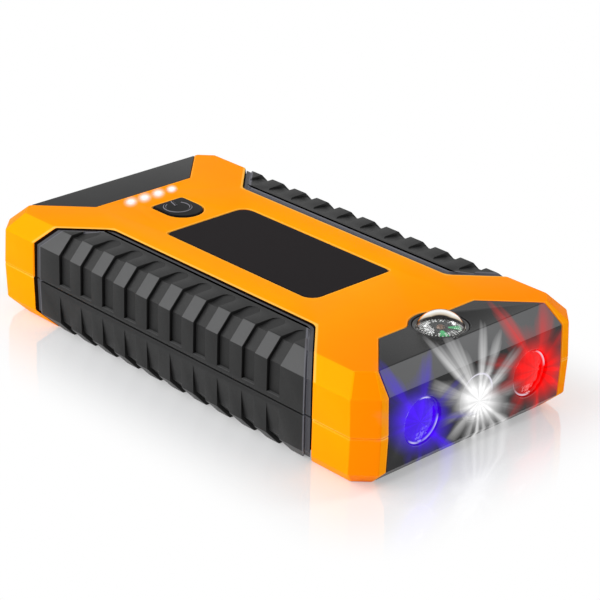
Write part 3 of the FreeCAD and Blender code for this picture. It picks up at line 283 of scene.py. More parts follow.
def moulded(
    name, colour, shade, edge, rough, gloss, grain, depth, ior=1.53, edge_share=0.35, edge_width=0.35,
):
    """Moulded plastic or rubber: mottled colour, fine grain, and a paler edge colour painted as highlight.

    Grain, depth and edge width are in mm. The grain is drawn coarser than it
    is on the real piece, so that it shows.
    """
    material, tree, shader, place = new_material(name)
    flow = add(tree, "ShaderNodeTexNoise", {
        "Vector": place, "Scale": 0.045 / mm, "Detail": 5.0, "Roughness": 0.6})
    mottle = add(tree, "ShaderNodeMapRange", {"Value": flow, "From Min": 0.3, "From Max": 0.7})
    body = add(tree, "ShaderNodeMix", {0: mottle, 6: colour, 7: shade}, data_type="RGBA")
    round_normal = add(tree, "ShaderNodeBevel", {"Radius": edge_width * mm}, samples=8)
    flat_normal = add(tree, "ShaderNodeNewGeometry").outputs["Normal"]
    alike = add(tree, "ShaderNodeVectorMath", (round_normal, flat_normal), operation="DOT_PRODUCT")
    bend = add(tree, "ShaderNodeMapRange", {
        "Value": alike, "From Min": 0.997, "From Max": 0.92, "To Max": edge_share})
    # The paler edge colour is a painted highlight.
    edge_highlighted = add(tree, "ShaderNodeMix", {0: bend, 6: body, 7: edge}, data_type="RGBA")
    pits = add(tree, "ShaderNodeTexNoise", {"Vector": place, "Scale": 1.0 / grain / mm, "Detail": 2.0})
    polish = add(tree, "ShaderNodeMapRange", {"Value": pits, "To Min": rough - 0.06, "To Max": rough + 0.06})
    plug(shader, {
        "Base Color": edge_highlighted,
        "Roughness": polish,
        "Normal": add(tree, "ShaderNodeBump", {"Height": pits, "Distance": depth * mm, "Strength": 1.0}),
        "IOR": ior,
        "Specular IOR Level": gloss,
    })
    return material


def opened(material):
    """Tree, shader and base colour of a material that gets more layers."""
    tree = material.node_tree
    shader = tree.nodes["Principled BSDF"]
    return tree, shader, shader.inputs["Base Color"].links[0].from_socket


def inside_border(point, line, slant):
    """How far a point lies inside a border of the grip areas, in plan, in mm.

    The border is the line |y| = line with the slants |x| = |y| + slant.
    """
    x, y = abs(point.x), abs(point.y)
    return min(y - line, (y + slant - x) / math.sqrt(2))


def border_band(tree, line, slant, low, high):
    """Smooth step, 0 to 1, over the distance in mm inside such a border."""
    place = add(tree, "ShaderNodeTexCoord").outputs["Object"]
    mirrored = add(tree, "ShaderNodeVectorMath", (place,), operation="ABSOLUTE")
    part = add(tree, "ShaderNodeSeparateXYZ", (mirrored,)).outputs
    past_line = add(tree, "ShaderNodeMath", (part["Y"], line * mm), operation="SUBTRACT")
    across = add(tree, "ShaderNodeMath", (part["Y"], part["X"]), operation="SUBTRACT")
    slope, offset = math.sqrt(0.5), slant * math.sqrt(0.5) * mm
    past_slant = add(tree, "ShaderNodeMath", (across, slope, offset), operation="MULTIPLY_ADD")
    inside = add(tree, "ShaderNodeMath", (past_line, past_slant), operation="MINIMUM")
    return add(tree, "ShaderNodeMapRange", {
        "Value": inside, "From Min": low * mm, "From Max": high * mm,
    }, interpolation_type="SMOOTHSTEP")


star_axis = (0.657, -0.628, 0.417)
star_across = (0.69, 0.72, 0.0)
star_up = (-0.301, 0.288, 0.909)
dot_spots = [(-61.1, y, 35.0) for y in (-8.7, -2.9, 2.9, 8.7)]
dot_reaches = (2.8, 2.8, 2.8, 2.2)
dot_core = 0.8
dot_flattening = 0.7


def from_spot(tree, spot, share):
    """Vector from a spot, in mm, whole and with a share of its part along the star axis taken off."""
    place = add(tree, "ShaderNodeTexCoord").outputs["Object"]
    away = add(tree, "ShaderNodeVectorMath", (place, [value * mm for value in spot]), operation="SUBTRACT")
    along = add(tree, "ShaderNodeVectorMath", (away, star_axis), operation="DOT_PRODUCT")
    sunk = add(tree, "ShaderNodeVectorMath", {0: star_axis, "Scale": along}, operation="SCALE")
    part = add(tree, "ShaderNodeVectorMath", {0: sunk, "Scale": share}, operation="SCALE")
    return away, add(tree, "ShaderNodeVectorMath", (away, part), operation="SUBTRACT")


def dot_glare(tree):
    """Soft white glow of the four charge lights, pink where it fades out."""
    total = (0.0, 0.0, 0.0)
    for spot, reach in zip(dot_spots, dot_reaches):
        flat = from_spot(tree, spot, dot_flattening)[1]
        distance = add(tree, "ShaderNodeVectorMath", (flat,), operation="LENGTH")
        near = add(tree, "ShaderNodeMapRange", {
            "Value": distance, "From Min": dot_core * mm, "From Max": reach * mm,
            "To Min": 1.0, "To Max": 0.0})
        fall = add(tree, "ShaderNodeMath", (near, 1.7), operation="POWER")
        glow = add(tree, "ShaderNodeVectorMath", {0: "#FFC8EC", "Scale": fall}, operation="SCALE")
        total = add(tree, "ShaderNodeVectorMath", (total, glow), operation="ADD")
    return total


lamp_codes = ("#4A00FF", "#FFFFFF", "#FF0000")
star_spots = ((86.2, -23.7, 17.4), (86.2, 1.0, 15.8), (86.2, 26.3, 17.6))
star_cores = ((4.8, 11.5), (3.4, 10.5), (5.0, 12.0))
star_lengths = (28.0, 26.0, 28.0)
star_root = 8.0
star_fade = 12.0
star_rays = (
    ((-168, 0.1), (-158, 0.3), (-148, 0.1), (-120, 0.12), (-105, 0.3), (-95, 0.1), (-88, 0.45), (-81, 0.15),
     (-70, 0.3), (-58, 0.15), (-40, 1.0), (-28, 0.2), (-15, 0.12), (-2, 0.2), (8, 0.65), (18, 0.15),
     (30, 0.3), (45, 0.55), (58, 0.15), (70, 0.2), (85, 0.6), (99, 0.3), (112, 0.2), (128, 0.75),
     (142, 0.3), (158, 0.2), (170, 0.35)),
    ((-165, 0.15), (-150, 0.45), (-140, 0.15), (-127, 0.6), (-116, 0.2), (-106, 0.5), (-98, 0.15), (-91, 0.9),
     (-85, 0.2), (-76, 0.6), (-68, 0.15), (-56, 0.6), (-47, 0.2), (-36, 0.85), (-25, 0.2), (-10, 0.35),
     (3, 0.15), (22, 0.5), (36, 0.2), (53, 0.8), (64, 0.2), (75, 0.85), (81, 0.4), (88, 0.95),
     (98, 0.15), (120, 0.9), (126, 0.6), (132, 1.0), (143, 0.15), (163, 0.6)),
    ((-168, 0.2), (-155, 0.6), (-140, 0.2), (-120, 0.5), (-106, 0.2), (-95, 0.3), (-86, 0.85), (-79, 0.3),
     (-65, 0.4), (-50, 0.2), (-32, 1.0), (-20, 0.2), (-8, 0.3), (2, 0.8), (13, 0.2), (28, 0.5),
     (39, 0.2), (55, 0.5), (66, 0.25), (83, 0.8), (98, 0.3), (112, 0.3), (126, 0.85), (141, 0.3),
     (152, 0.2), (171, 0.6)),
)


def ray_strength(tree, flat, rays):
    """Strength of a lamp's rays, 0 to 1, by the angle in degrees round the star axis."""
    across = add(tree, "ShaderNodeVectorMath", (flat, star_across), operation="DOT_PRODUCT")
    height = add(tree, "ShaderNodeVectorMath", (flat, star_up), operation="DOT_PRODUCT")
    angle = add(tree, "ShaderNodeMath", (height, across), operation="ARCTAN2")
    turn = add(tree, "ShaderNodeMapRange", {"Value": angle, "From Min": -math.pi, "From Max": math.pi})
    fan = add(tree, "ShaderNodeValToRGB", (turn,))
    fan.color_ramp.interpolation = "EASE"
    stops = fan.color_ramp.elements
    for degrees, strength in rays:
        stops.new(degrees / 360.0 + 0.5).color = (strength, strength, strength, 1.0)
    seam = 0.5 * (rays[0][1] + rays[-1][1])
    stops[0].color = stops[-1].color = (seam, seam, seam, 1.0)
    return fan


def lamp_glare(tree, shader, strength=1.0, reach=34.0):
    """Lays the glare of the three lamps over a surface near them and returns its light.

    Each lamp has a full bright core and rays of uneven width and length,
    drawn out round one slanted axis so that they run straight over edges.
    """
    glow_sum, fall_sum = (0.0, 0.0, 0.0), 0.0
    for index, (core_end, halo_end) in enumerate(star_cores):
        away, flat = from_spot(tree, star_spots[index], 1.0)
        distance = add(tree, "ShaderNodeVectorMath", (flat,), operation="LENGTH")
        way = add(tree, "ShaderNodeVectorMath", (flat,), operation="NORMALIZE")
        seeded = add(tree, "ShaderNodeVectorMath", (way, (index * 3.0, 0.0, 0.0)), operation="ADD")
        fine = add(tree, "ShaderNodeTexNoise", {"Vector": seeded, "Scale": 14.0, "Detail": 1.0})
        broken = add(tree, "ShaderNodeMapRange", {
            "Value": fine, "From Min": 0.3, "From Max": 0.7, "To Min": 0.84, "To Max": 1.12})
        rays = ray_strength(tree, flat, star_rays[index])
        streak = add(tree, "ShaderNodeMath", (rays, broken), operation="MULTIPLY", use_clamp=True)
        core = add(tree, "ShaderNodeMapRange", {
            "Value": distance, "From Min": core_end * mm, "From Max": halo_end * mm,
            "To Min": 1.0, "To Max": 0.0})
        core_fall = add(tree, "ShaderNodeMath", (core, 1.6), operation="POWER")
        uneven = add(tree, "ShaderNodeMapRange", {"Value": streak, "To Min": 0.6, "To Max": 1.5})
        inner = add(tree, "ShaderNodeMath", (core_fall, uneven), operation="MULTIPLY")
        ray_end = add(tree, "ShaderNodeMapRange", {
            "Value": streak, "To Min": star_root * mm, "To Max": star_lengths[index] * mm})
        share = add(tree, "ShaderNodeMath", (distance, ray_end), operation="DIVIDE")
        left = add(tree, "ShaderNodeMath", (1.0, share), operation="SUBTRACT", use_clamp=True)
        tapered = add(tree, "ShaderNodeMath", (left, 0.85), operation="POWER")
        bright = add(tree, "ShaderNodeMath", (streak, 0.8), operation="POWER")
        ray = add(tree, "ShaderNodeMath", (tapered, bright), operation="MULTIPLY")
        both = add(tree, "ShaderNodeMath", (inner, ray), operation="MAXIMUM", use_clamp=True)
        whole = add(tree, "ShaderNodeVectorMath", (away,), operation="LENGTH")
        in_reach = add(tree, "ShaderNodeMapRange", {
            "Value": whole, "From Min": (reach - star_fade) * mm, "From Max": reach * mm,
            "To Min": strength, "To Max": 0.0})
        fall = add(tree, "ShaderNodeMath", (both, in_reach), operation="MULTIPLY", use_clamp=True)
        squared = add(tree, "ShaderNodeMath", (fall, fall), operation="MULTIPLY")
        glow = add(tree, "ShaderNodeVectorMath", {0: lamp_codes[index], "Scale": squared}, operation="SCALE")
        glow_sum = add(tree, "ShaderNodeVectorMath", (glow_sum, glow), operation="ADD")
        fall_sum = add(tree, "ShaderNodeMath", (fall_sum, fall), operation="ADD")
    some = add(tree, "ShaderNodeMath", (fall_sum, 1e-4), operation="MAXIMUM")
    shared = add(tree, "ShaderNodeMath", (1.0, some), operation="DIVIDE")
    covered = add(tree, "ShaderNodeMath", (fall_sum, 1.0), operation="MINIMUM")
    plain = shader.inputs["Base Color"].links[0].from_socket
    outshone = add(tree, "ShaderNodeMix", {0: covered, 6: plain, 7: "#000000"}, data_type="RGBA")
    plug(shader, {"Base Color": outshone})
    return add(tree, "ShaderNodeVectorMath", {0: glow_sum, "Scale": shared}, operation="SCALE")


# Satin orange. A painted highlight gives a paler line on its edges, painted
# light and shade make it redder on the corner facets and yellower on the long
# bevels, and it is painted redder toward both ends of the top.
seat_line, seat_slant = 27.6, 19.2
orange_abs = moulded(
    "orange_abs_moulded", "#FF9C00", "#FB9600", "#FFDE6A", 0.46, 0.012, 0.5, 0.004,
    edge_share=0.9, edge_width=1.0)
tree, shader, orange = opened(orange_abs)
side_light_shade = add(tree, "ShaderNodeAttribute", attribute_name="side_light_shade").outputs["Fac"]
seat_shade = add(tree, "ShaderNodeAttribute", attribute_name="seat_shade").outputs["Fac"]
place = add(tree, "ShaderNodeTexCoord").outputs["Object"]
run = add(tree, "ShaderNodeSeparateXYZ", (place,)).outputs["X"]
lie = add(tree, "ShaderNodeNewGeometry").outputs["Normal"]
rise = add(tree, "ShaderNodeSeparateXYZ", (lie,)).outputs["Z"]
# Painted light and shade by side, and painted redder toward the ends of the top.
corner_shade_share, bevel_light_share, lamp_half, port_half, level, lying = [
    add(tree, "ShaderNodeMapRange", {"Value": value, "From Min": start, "From Max": end, "To Max": most})
    for value, start, end, most in (
        (side_light_shade, 0.5, 0.0, 0.8),
        (side_light_shade, 0.5, 1.0, 0.8),
        (run, 28.0 * mm, 74.0 * mm, 0.8),
        (run, -20.0 * mm, -70.0 * mm, 0.4),
        (rise, 0.9, 0.98, 1.0),
        (rise, 0.25, 0.6, 1.0),
    )]
toward_end = add(tree, "ShaderNodeMath", (lamp_half, port_half), operation="MAXIMUM")
end_share = add(tree, "ShaderNodeMath", (toward_end, level), operation="MULTIPLY")
# A painted highlight runs as a pale yellow line along the grip seat edges.
seat_edge = border_band(tree, seat_line, seat_slant, -1.0, -0.45)
seat_edge_highlight = add(tree, "ShaderNodeMath", (seat_edge, lying), operation="MULTIPLY")
for share, code in (
    (corner_shade_share, "#FF8400"), (bevel_light_share, "#FF9F00"), (end_share, "#FF8200"),
    # The grip seat walls are painted near-black as shade.
    (seat_edge_highlight, "#FBB548"), (seat_shade, "#1A0D06"),
):
    orange = add(tree, "ShaderNodeMix", {0: share, 6: orange, 7: code}, data_type="RGBA")
plug(shader, {"Base Color": orange})
orange_glare = (dot_glare(tree), lamp_glare(tree, shader, 0.22, 27.0))
both_glows = add(tree, "ShaderNodeVectorMath", orange_glare, operation="ADD")
plug(shader, {"Emission Color": both_glows, "Emission Strength": 1.0})


def side_light_shade_of(normal, centre):
    """Painted light and shade by side: 0 on the corner facets, 0.5 on the flats and 1 on the long bevels."""
    across, along, up = abs(normal.y), abs(normal.x), abs(normal.z)
    if across > 0.5 and along < 0.4:
        return 1.0 if up > 0.3 else 0.4
    return 0.0 if across > 0.3 and along > 0.3 and up < 0.9 else 0.5


def seat_shade_of(normal, centre):
    """1 on the grip seat walls, which are painted near-black as shade."""
    in_seat = inside_border(centre, seat_line, seat_slant) > -0.05 and abs(centre.y) < case_half_width
    return 1.0 if in_seat and skin_depth(centre) > 0.2 else 0.0


for half in ("upper", "lower"):
    shell = rounded_copy(half + "_case_half", half + "_shell", 0.4, 3, case_edge_share)
    mark_faces(shell, "side_light_shade", side_light_shade_of)
    mark_faces(shell, "seat_shade", seat_shade_of)
    fit(shell, orange_abs, "case", "case_orange", half + "_shell")

# The grips: black thermoplastic rubber moulded in four pieces, each a pad
# inside a sunk frame with ten finger grooves across it, glued in the seats.
# Its groove walls are painted near-black as shade, and its sloped facets
# and ledges, its frame and its pad border are painted paler grey as highlight.
pad_line, pad_slant = 29.7, 16.23
groove_ledge = 1.7
crossing_start, crossing_end, crossing_half_width = 45.4, 52.0, 37.5
grip_rubber = moulded(
    "black_rubber_moulded", "#131313", "#1B1B1B", "#484848", 0.55, 0.25, 0.6, 0.01, ior=1.5, edge_share=0.3)
tree, shader, plain_rubber = opened(grip_rubber)
# Groove walls are painted near-black as shade; sloped facets and ledges are painted paler grey as highlight.
painted_light_shade = add(tree, "ShaderNodeAttribute", attribute_name="painted_light_shade").outputs["Fac"]
out_of_groove = add(tree, "ShaderNodeMapRange", {"Value": painted_light_shade, "From Max": 0.3})
highlight_share = add(tree, "ShaderNodeMapRange", {"Value": painted_light_shade, "From Min": 0.7, "From Max": 1.0})
# The frame is painted mid grey as light, palest at the pad's rounded border as a painted highlight.
off_pad = border_band(tree, pad_line, pad_slant, 0.75, 0.35)
pad_edge = border_band(tree, pad_line, pad_slant, -0.6, -0.35)
shaded = add(tree, "ShaderNodeMix", {0: out_of_groove, 6: "#010101", 7: plain_rubber}, data_type="RGBA")
highlighted_rubber = add(tree, "ShaderNodeMix", {0: highlight_share, 6: shaded, 7: "#464646"}, data_type="RGBA")
frame_painted_light = add(tree, "ShaderNodeMix", {0: pad_edge, 6: "#3C3C40", 7: "#5A5A60"}, data_type="RGBA")
banded = add(tree, "ShaderNodeMix", {0: off_pad, 6: highlighted_rubber, 7: frame_painted_light}, data_type="RGBA")
plug(shader, {"Base Color": banded})


def pad_edge_share(point):
    """The pad's border has a wide round, the grooves a narrow one."""
    if skin_depth(point) >= skin_tolerance:
        return 0.0
    crossed_by_groove = crossing_start < abs(point.x) < crossing_end and abs(point.y) < crossing_half_width
    return 1.0 if abs(inside_border(point, pad_line, pad_slant)) < 0.3 and not crossed_by_groove else 0.25


def painted_light_shade_of(normal, centre):
    """Painted light and shade of a face: 0 on groove walls, painted near-black as shade, 1 on sloped facets
    and ledges, painted paler as highlight.
    """
    depth, inside = skin_depth(centre), inside_border(centre, pad_line, pad_slant)
    across, along, up = abs(normal.y), abs(normal.x), abs(normal.z)
    if depth < 0.03:
        return 1.0 if up > 0.5 and across > 0.5 and along < 0.2 else 0.6
    if up > 0.9 and abs(abs(centre.z - case_middle) - groove_ledge) < 0.2:
        return 1.0
    if depth < 0.55 and -0.2 < inside < 0.75:
        return 0.85
    if inside < 0.1:
        return 0.3
    return 0.0 if along > 0.6 else 0.35


for side in ("near", "far"):
    for half in ("upper", "lower"):
        node_name = side + "_grip_" + half
        grip = rounded_copy(node_name + "_pad", node_name, 0.6, 3, pad_edge_share)
        mark_faces(grip, "painted_light_shade", painted_light_shade_of)
        fit(grip, grip_rubber, "case", "grip_rubber", node_name)

# The end panels: black ABS pressed over both ends of the case, satin with
# a fine grain. The lamp end copy is painted darker, its bevels painted paler
# as highlight, and the glare of its lamps is painted round them.
panel_abs = moulded("black_abs_satin", "#1E1E1E", "#252525", "#6A6A6A", 0.42, 0.22, 0.45, 0.005)
lit_panel_abs = moulded(
    "black_abs_satin_by_lamps", "#141414", "#1A1A1A", "#6A6A6A", 0.42, 0.12, 0.45, 0.005)
tree, shader, plain_panel = opened(lit_panel_abs)
# Painted highlight on the bevels, and the painted glare of the lamps below.
shine = add(tree, "ShaderNodeAttribute", attribute_name="shine").outputs["Fac"]
shone = add(tree, "ShaderNodeMix", {0: shine, 6: plain_panel, 7: "#5E5E5E"}, data_type="RGBA")
plug(shader, {"Base Color": shone})
plug(shader, {"Emission Color": lamp_glare(tree, shader), "Emission Strength": 1.0})


def shine_of(normal, centre):
    """Painted highlight: 1 on the bevels that face the sky, a little on the end walls."""
    return 1.0 if 0.3 < abs(normal.z) < 0.9 and skin_depth(centre) < 0.1 else 0.12 * abs(normal.x)


for end, material in (("lamp", lit_panel_abs), ("port", panel_abs)):
    panel = rounded_copy(end + "_end_panel", end + "_panel", 0.3, 2, case_edge_share)
    mark_faces(panel, "shine", shine_of)
    fit(panel, material, "case", "panel_black", end + "_panel")


# The name plate: a die-cut polycarbonate sheet with a matt lined back print,
# two of its corners round and two nearly square, glued into its recess.
def pattern_finish(tree, shader, pattern, colour, shade, smooth, rough, depth):
    """Lets one pattern drive the colour, the roughness and a relief whose depth is in mm."""
    plug(shader, {
        "Base Color": add(tree, "ShaderNodeMix", {0: pattern, 6: colour, 7: shade}, data_type="RGBA"),
        "Roughness": add(tree, "ShaderNodeMapRange", {"Value": pattern, "To Min": smooth, "To Max": rough}),
        "Normal": add(tree, "ShaderNodeBump", {"Height": pattern, "Distance": depth * mm}),
    })


plate_print, tree, shader, place = new_material("dark_polycarbonate_label")
stretch = add(tree, "ShaderNodeMapping", {"Vector": place, "Scale": (0.06 / mm, 2.2 / mm, 1.0)})
lines = add(tree, "ShaderNodeTexNoise", {"Vector": stretch, "Scale": 1.0, "Detail": 3.0})
pattern_finish(tree, shader, lines, "#1A1718", "#211E1F", 0.4, 0.55, 0.004)
plug(shader, {"IOR": 1.58, "Specular IOR Level": 0.01})
plate_half_length, plate_half_width = 33.4, 16.65
plate_bottom, plate_top = 34.1, 34.9
small_corner, large_corner = 1.9, 4.3
corner_steps = 8


def flat_way(angle):
    """Unit vector in plan at an angle."""
    return Vector((math.cos(angle), math.sin(angle), 0.0))


def thickened(shape, faces, height):
    """Draws flat faces up by a height in mm."""
    raised = bmesh.ops.extrude_face_region(shape, geom=faces)
    tops = [vert for vert in raised["geom"] if isinstance(vert, bmesh.types.BMVert)]
    bmesh.ops.translate(shape, verts=tops, vec=(0, 0, height * mm))


def mesh_of(name, shape):
    """Mesh of a closed shape, its faces turned outward."""
    bmesh.ops.recalc_face_normals(shape, faces=shape.faces)
    mesh = bpy.data.meshes.new(name)
    shape.to_mesh(mesh)
    shape.free()
    return mesh


shape = bmesh.new()
outline = []
for number, (along, across) in enumerate(((-1, -1), (1, -1), (1, 1), (-1, 1))):
    radius = large_corner if number % 2 else small_corner
    x, y = along * (plate_half_length - radius), across * (plate_half_width - radius)
    for step in range(corner_steps + 1):
        angle = math.pi + (number + step / corner_steps) * math.pi / 2
        outline.append(shape.verts.new((Vector((x, y, plate_bottom)) + flat_way(angle) * radius) * mm))
thickened(shape, [shape.faces.new(outline)], plate_top - plate_bottom)
rim = [edge for edge in shape.edges if all(vert.co.z > (plate_top - 0.1) * mm for vert in edge.verts)]
bmesh.ops.bevel(shape, geom=rim, offset=0.15 * mm, segments=2, affect="EDGES", clamp_overlap=True)
plate = finished("bare_name_plate", mesh_of("bare_name_plate", shape))
fit(plate, plate_print, "case", "plate_grey", "name_plate")

# The power key: a glossy black ABS cap, D shaped, with the power symbol
# standing proud of it in grey. It rides on the key body with its plunger.
key_abs = moulded("black_abs_glossy", "#0A0909", "#100E0F", "#423E42", 0.3, 0.03, 0.8, 0.002)
symbol_paint = moulded("grey_pad_printed_symbol", "#6C696F", "#5C5A60", "#96949A", 0.4, 0.2, 0.4, 0.004)
key_rim_start = 34.0
key_cap = rounded_copy(
    "power_key_cap", "power_key", 0.12, 2, lambda point: 1.0 if point.z > key_rim_start else 0.0)
fit(key_cap, key_abs, "key", "key_black", "power_key")

symbol_centre = Vector((-47.2, -0.4, 35.33))
symbol_way = math.radians(162)
symbol_radius = 4.3
symbol_stroke = 1.15
symbol_side = 0.32
symbol_rise, symbol_sink = 0.2, 0.05
symbol_gap = math.radians(38)
symbol_bar = (1.3, 5.0)
arc_steps = 48


def raised_strip(shape, centres, ways):
    """Adds a low stroke with sloped sides along some points, its top in slot 1."""
    half, inner = symbol_stroke / 2, symbol_stroke / 2 - symbol_side
    spread = [(-half, -symbol_sink), (-inner, symbol_rise), (inner, symbol_rise), (half, -symbol_sink)]
    rows = []
    for centre, way in zip(centres, ways):
        points = [centre + way * across + Vector((0, 0, up)) for across, up in spread]
        rows.append([shape.verts.new(point * mm) for point in points])
    for here, following in zip(rows, rows[1:]):
        for index in range(4):
            after = (index + 1) % 4
            face = shape.faces.new((here[index], here[after], following[after], following[index]))
            face.material_index = 1 if index == 1 else 0
    shape.faces.new(rows[0][::-1])
    shape.faces.new(rows[-1])


shape = bmesh.new()
arc_span = 2 * math.pi - 2 * symbol_gap
ways = [flat_way(symbol_way + symbol_gap + arc_span * step / arc_steps) for step in range(arc_steps + 1)]
raised_strip(shape, [symbol_centre + way * symbol_radius for way in ways], ways)
bar_ends = [symbol_centre + flat_way(symbol_way) * reach for reach in symbol_bar]
raised_strip(shape, bar_ends, [Vector((math.sin(symbol_way), -math.cos(symbol_way), 0))] * 2)
symbol = finished("power_symbol", mesh_of("power_symbol", shape))
symbol.data.materials.append(symbol_paint)
symbol.data.materials.append(key_abs)
fit(symbol, None, "key", "key_black")

# The charge lights: one clear polycarbonate light pipe whose four studs
# come up flush through the case, lit from under by four small lights.
pipe_clear, tree, shader, place = new_material("lit_clear_polycarbonate")
haze = add(tree, "ShaderNodeTexNoise", {"Vector": place, "Scale": 0.9 / mm, "Detail": 2.0})
plug(shader, {
    "IOR": 1.58,
    "Transmission Weight": 0.2,
    "Specular IOR Level": 0.1,
    "Roughness": add(tree, "ShaderNodeMapRange", {"Value": haze, "To Min": 0.1, "To Max": 0.3}),
    "Base Color": add(tree, "ShaderNodeMix", {0: haze, 6: "#FFA84A", 7: "#FF9A38"}, data_type="RGBA"),
    "Emission Color": dot_glare(tree),
    "Emission Strength": 1.0,
})
stud_rim_start = 34.9
pipe = rounded_copy(
    "charge_light_pipe", "light_pipe", 0.15, 2, lambda point: 1.0 if point.z > stud_rim_start else 0.0)
fit(pipe, pipe_clear, "case", "clear_plastic", "light_pipe")

# The three lamps: clear polycarbonate lenses with a stepped rim over
# vacuum-metallised bowls, with a square light source in each. They are
# lit blue, white and red, so bowl and lens glow in their own colour.
lamp_pitch = 22.9
lens_back, lens_front = 82.75, 86.0
lens_rim = (6.55, 6.85, 7.05, 7.3)
lens_profile = [
    (0.0, 0.0), (8.8, 0.0), (8.8, 1.1), (7.4, 1.1), (7.4, 2.75), (7.22, 2.95), (6.75, 2.95), (6.45, 2.55),
    (6.2, 2.55), (5.2, 2.86), (4.2, 3.1), (3.2, 3.28), (2.2, 3.4), (1.1, 3.47), (0.0, 3.5),
]
bowl_flutes = 24.0


def turned(name, profile, origin, axis, around, sharp_angle=40.0):
    """Object turned from (radius, height) points about an axis, closed at its poles."""
    shape = bmesh.new()
    rings = []
    turn = Vector((0, 0, 1)).rotation_difference(Vector(axis))
    for radius, height in profile:
        ring = []
        for step in range(around if radius > 1e-6 else 1):
            angle = 2 * math.pi * step / around
            point = Vector((radius * math.cos(angle), radius * math.sin(angle), height))
            ring.append(shape.verts.new((turn @ point + Vector(origin)) * mm))
        rings.append(ring)
    for here, following in zip(rings, rings[1:]):
        for step in range(around):
            after = (step + 1) % around
            corners = [ring[place % len(ring)] for ring, place in (
                (here, step), (here, after), (following, after), (following, step))]
            distinct = [corner for index, corner in enumerate(corners) if corner not in corners[:index]]
            if len(distinct) > 2:
                shape.faces.new(distinct)
    if profile[0] == profile[-1]:
        bmesh.ops.remove_doubles(shape, verts=shape.verts, dist=0.001 * mm)
    return finished(name, mesh_of(name, shape), sharp_angle)


def lamp_glass(name, centre_y, tint):
    """Moulded clear lens: gloss, fine pillow optics on its face and broken light on its rim."""
    material, tree, shader, place = new_material(name)
    pillows = add(tree, "ShaderNodeTexVoronoi", {"Vector": place, "Scale": 0.62 / mm, "Randomness": 0.25})
    centre = (lens_front * mm, centre_y * mm, case_middle * mm)
    away = add(tree, "ShaderNodeVectorMath", (place, centre), operation="DISTANCE")
    rim_start, rim_full, rim_fade, rim_end = [radius * mm for radius in lens_rim]
    rim = add(tree, "ShaderNodeMapRange", {"Value": away, "From Min": rim_start, "From Max": rim_full})
    past_rim = add(tree, "ShaderNodeMapRange", {
        "Value": away, "From Min": rim_fade, "From Max": rim_end, "To Min": 1.0, "To Max": 0.0})
    patches = add(tree, "ShaderNodeTexNoise", {"Vector": place, "Scale": 0.16 / mm, "Detail": 1.0})
    lit_patch = add(tree, "ShaderNodeMapRange", {
        "Value": patches, "From Min": 0.45, "From Max": 0.6, "To Max": 0.7})
    ring = add(tree, "ShaderNodeMath", (rim, past_rim), operation="MULTIPLY")
    arc = add(tree, "ShaderNodeMath", (ring, lit_patch), operation="MULTIPLY")
    sparkle = add(tree, "ShaderNodeMapRange", {
        "Value": pillows, "From Max": 0.6, "To Min": 0.2, "To Max": 0.1})
    plug(shader, {
        "IOR": 1.58,
        "Transmission Weight": 0.25,
        "Roughness": 0.08,
        "Specular IOR Level": 0.05,
        "Normal": add(tree, "ShaderNodeBump", {"Height": pillows, "Distance": 0.25 * mm, "Strength": 0.35}),
        "Base Color": add(tree, "ShaderNodeVectorMath", {0: tint, "Scale": sparkle}, operation="SCALE"),
        "Emission Strength": 1.0,
    })
    glow = add(tree, "ShaderNodeMix", {0: arc, 6: lamp_glare(tree, shader), 7: "#E6E2F4"}, data_type="RGBA")
    plug(shader, {"Emission Color": glow})
    return material


def lit_bowl(name, centre_y, tint):
    """Metallised bowl that glows in its lamp's colour, fluted round the axis."""
    material, tree, shader, place = new_material(name)
    shift = (0, -centre_y * mm, -case_middle * mm)
    centred = add(tree, "ShaderNodeMapping", {"Vector": place, "Location": shift})
    part = add(tree, "ShaderNodeSeparateXYZ", (centred,)).outputs
    angle = add(tree, "ShaderNodeMath", (part["Z"], part["Y"]), operation="ARCTAN2")
    phase = add(tree, "ShaderNodeMath", (angle, bowl_flutes), operation="MULTIPLY")
    flutes = add(tree, "ShaderNodeMath", (phase,), operation="SINE")
    polish, bright = [
        add(tree, "ShaderNodeMapRange", {"Value": flutes, "From Min": -1.0, "To Min": low, "To Max": high})
        for low, high in ((0.08, 0.16), (0.35, 0.8))]
    plug(shader, {
        "Metallic": 1.0,
        "Base Color": tint,
        "Normal": add(tree, "ShaderNodeBump", {"Height": flutes, "Distance": 0.15 * mm}),
        "Roughness": polish,
        "Emission Color": add(tree, "ShaderNodeVectorMath", {0: tint, "Scale": bright}, operation="SCALE"),
        "Emission Strength": 1.0,
    })
    return material


def lit_source(name, tint):
    """Phosphor square, brightest in its middle grid of dies."""
    material, tree, shader, place = new_material(name)
    dies = add(tree, "ShaderNodeTexVoronoi", {"Vector": place, "Scale": 1.1 / mm, "Randomness": 0.1})
    glow = add(tree, "ShaderNodeMix", {0: dies, 6: "#FFFFFF", 7: tint}, data_type="RGBA")
    plug(shader, {"Base Color": glow, "Emission Color": glow, "Emission Strength": 1.5, "Roughness": 0.4})
    return material


def paint_nodes(material, *node_names):
    """Gives CAD nodes that stay their better material."""
    for node_name in node_names:
        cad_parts[node_name].material_slots[0].material = material


for index, (side, colour_name) in enumerate((("near", "blue"), ("middle", "white"), ("far", "red"))):
    y, tint = (index - 1) * lamp_pitch, lamp_codes[index]
    lens = turned(colour_name + "_lamp_lens", lens_profile, (lens_back, y, case_middle), (1, 0, 0), 72, 35.0)
    glass = lamp_glass(colour_name + "_clear_polycarbonate", y, tint)
    fit(lens, glass, "case", "clear_plastic", side + "_lens")
    paint_nodes(lit_bowl(colour_name + "_metallised_bowl", y, tint), side + "_reflector")
    paint_nodes(lit_source(colour_name + "_phosphor_square", tint), side + "_emitter")

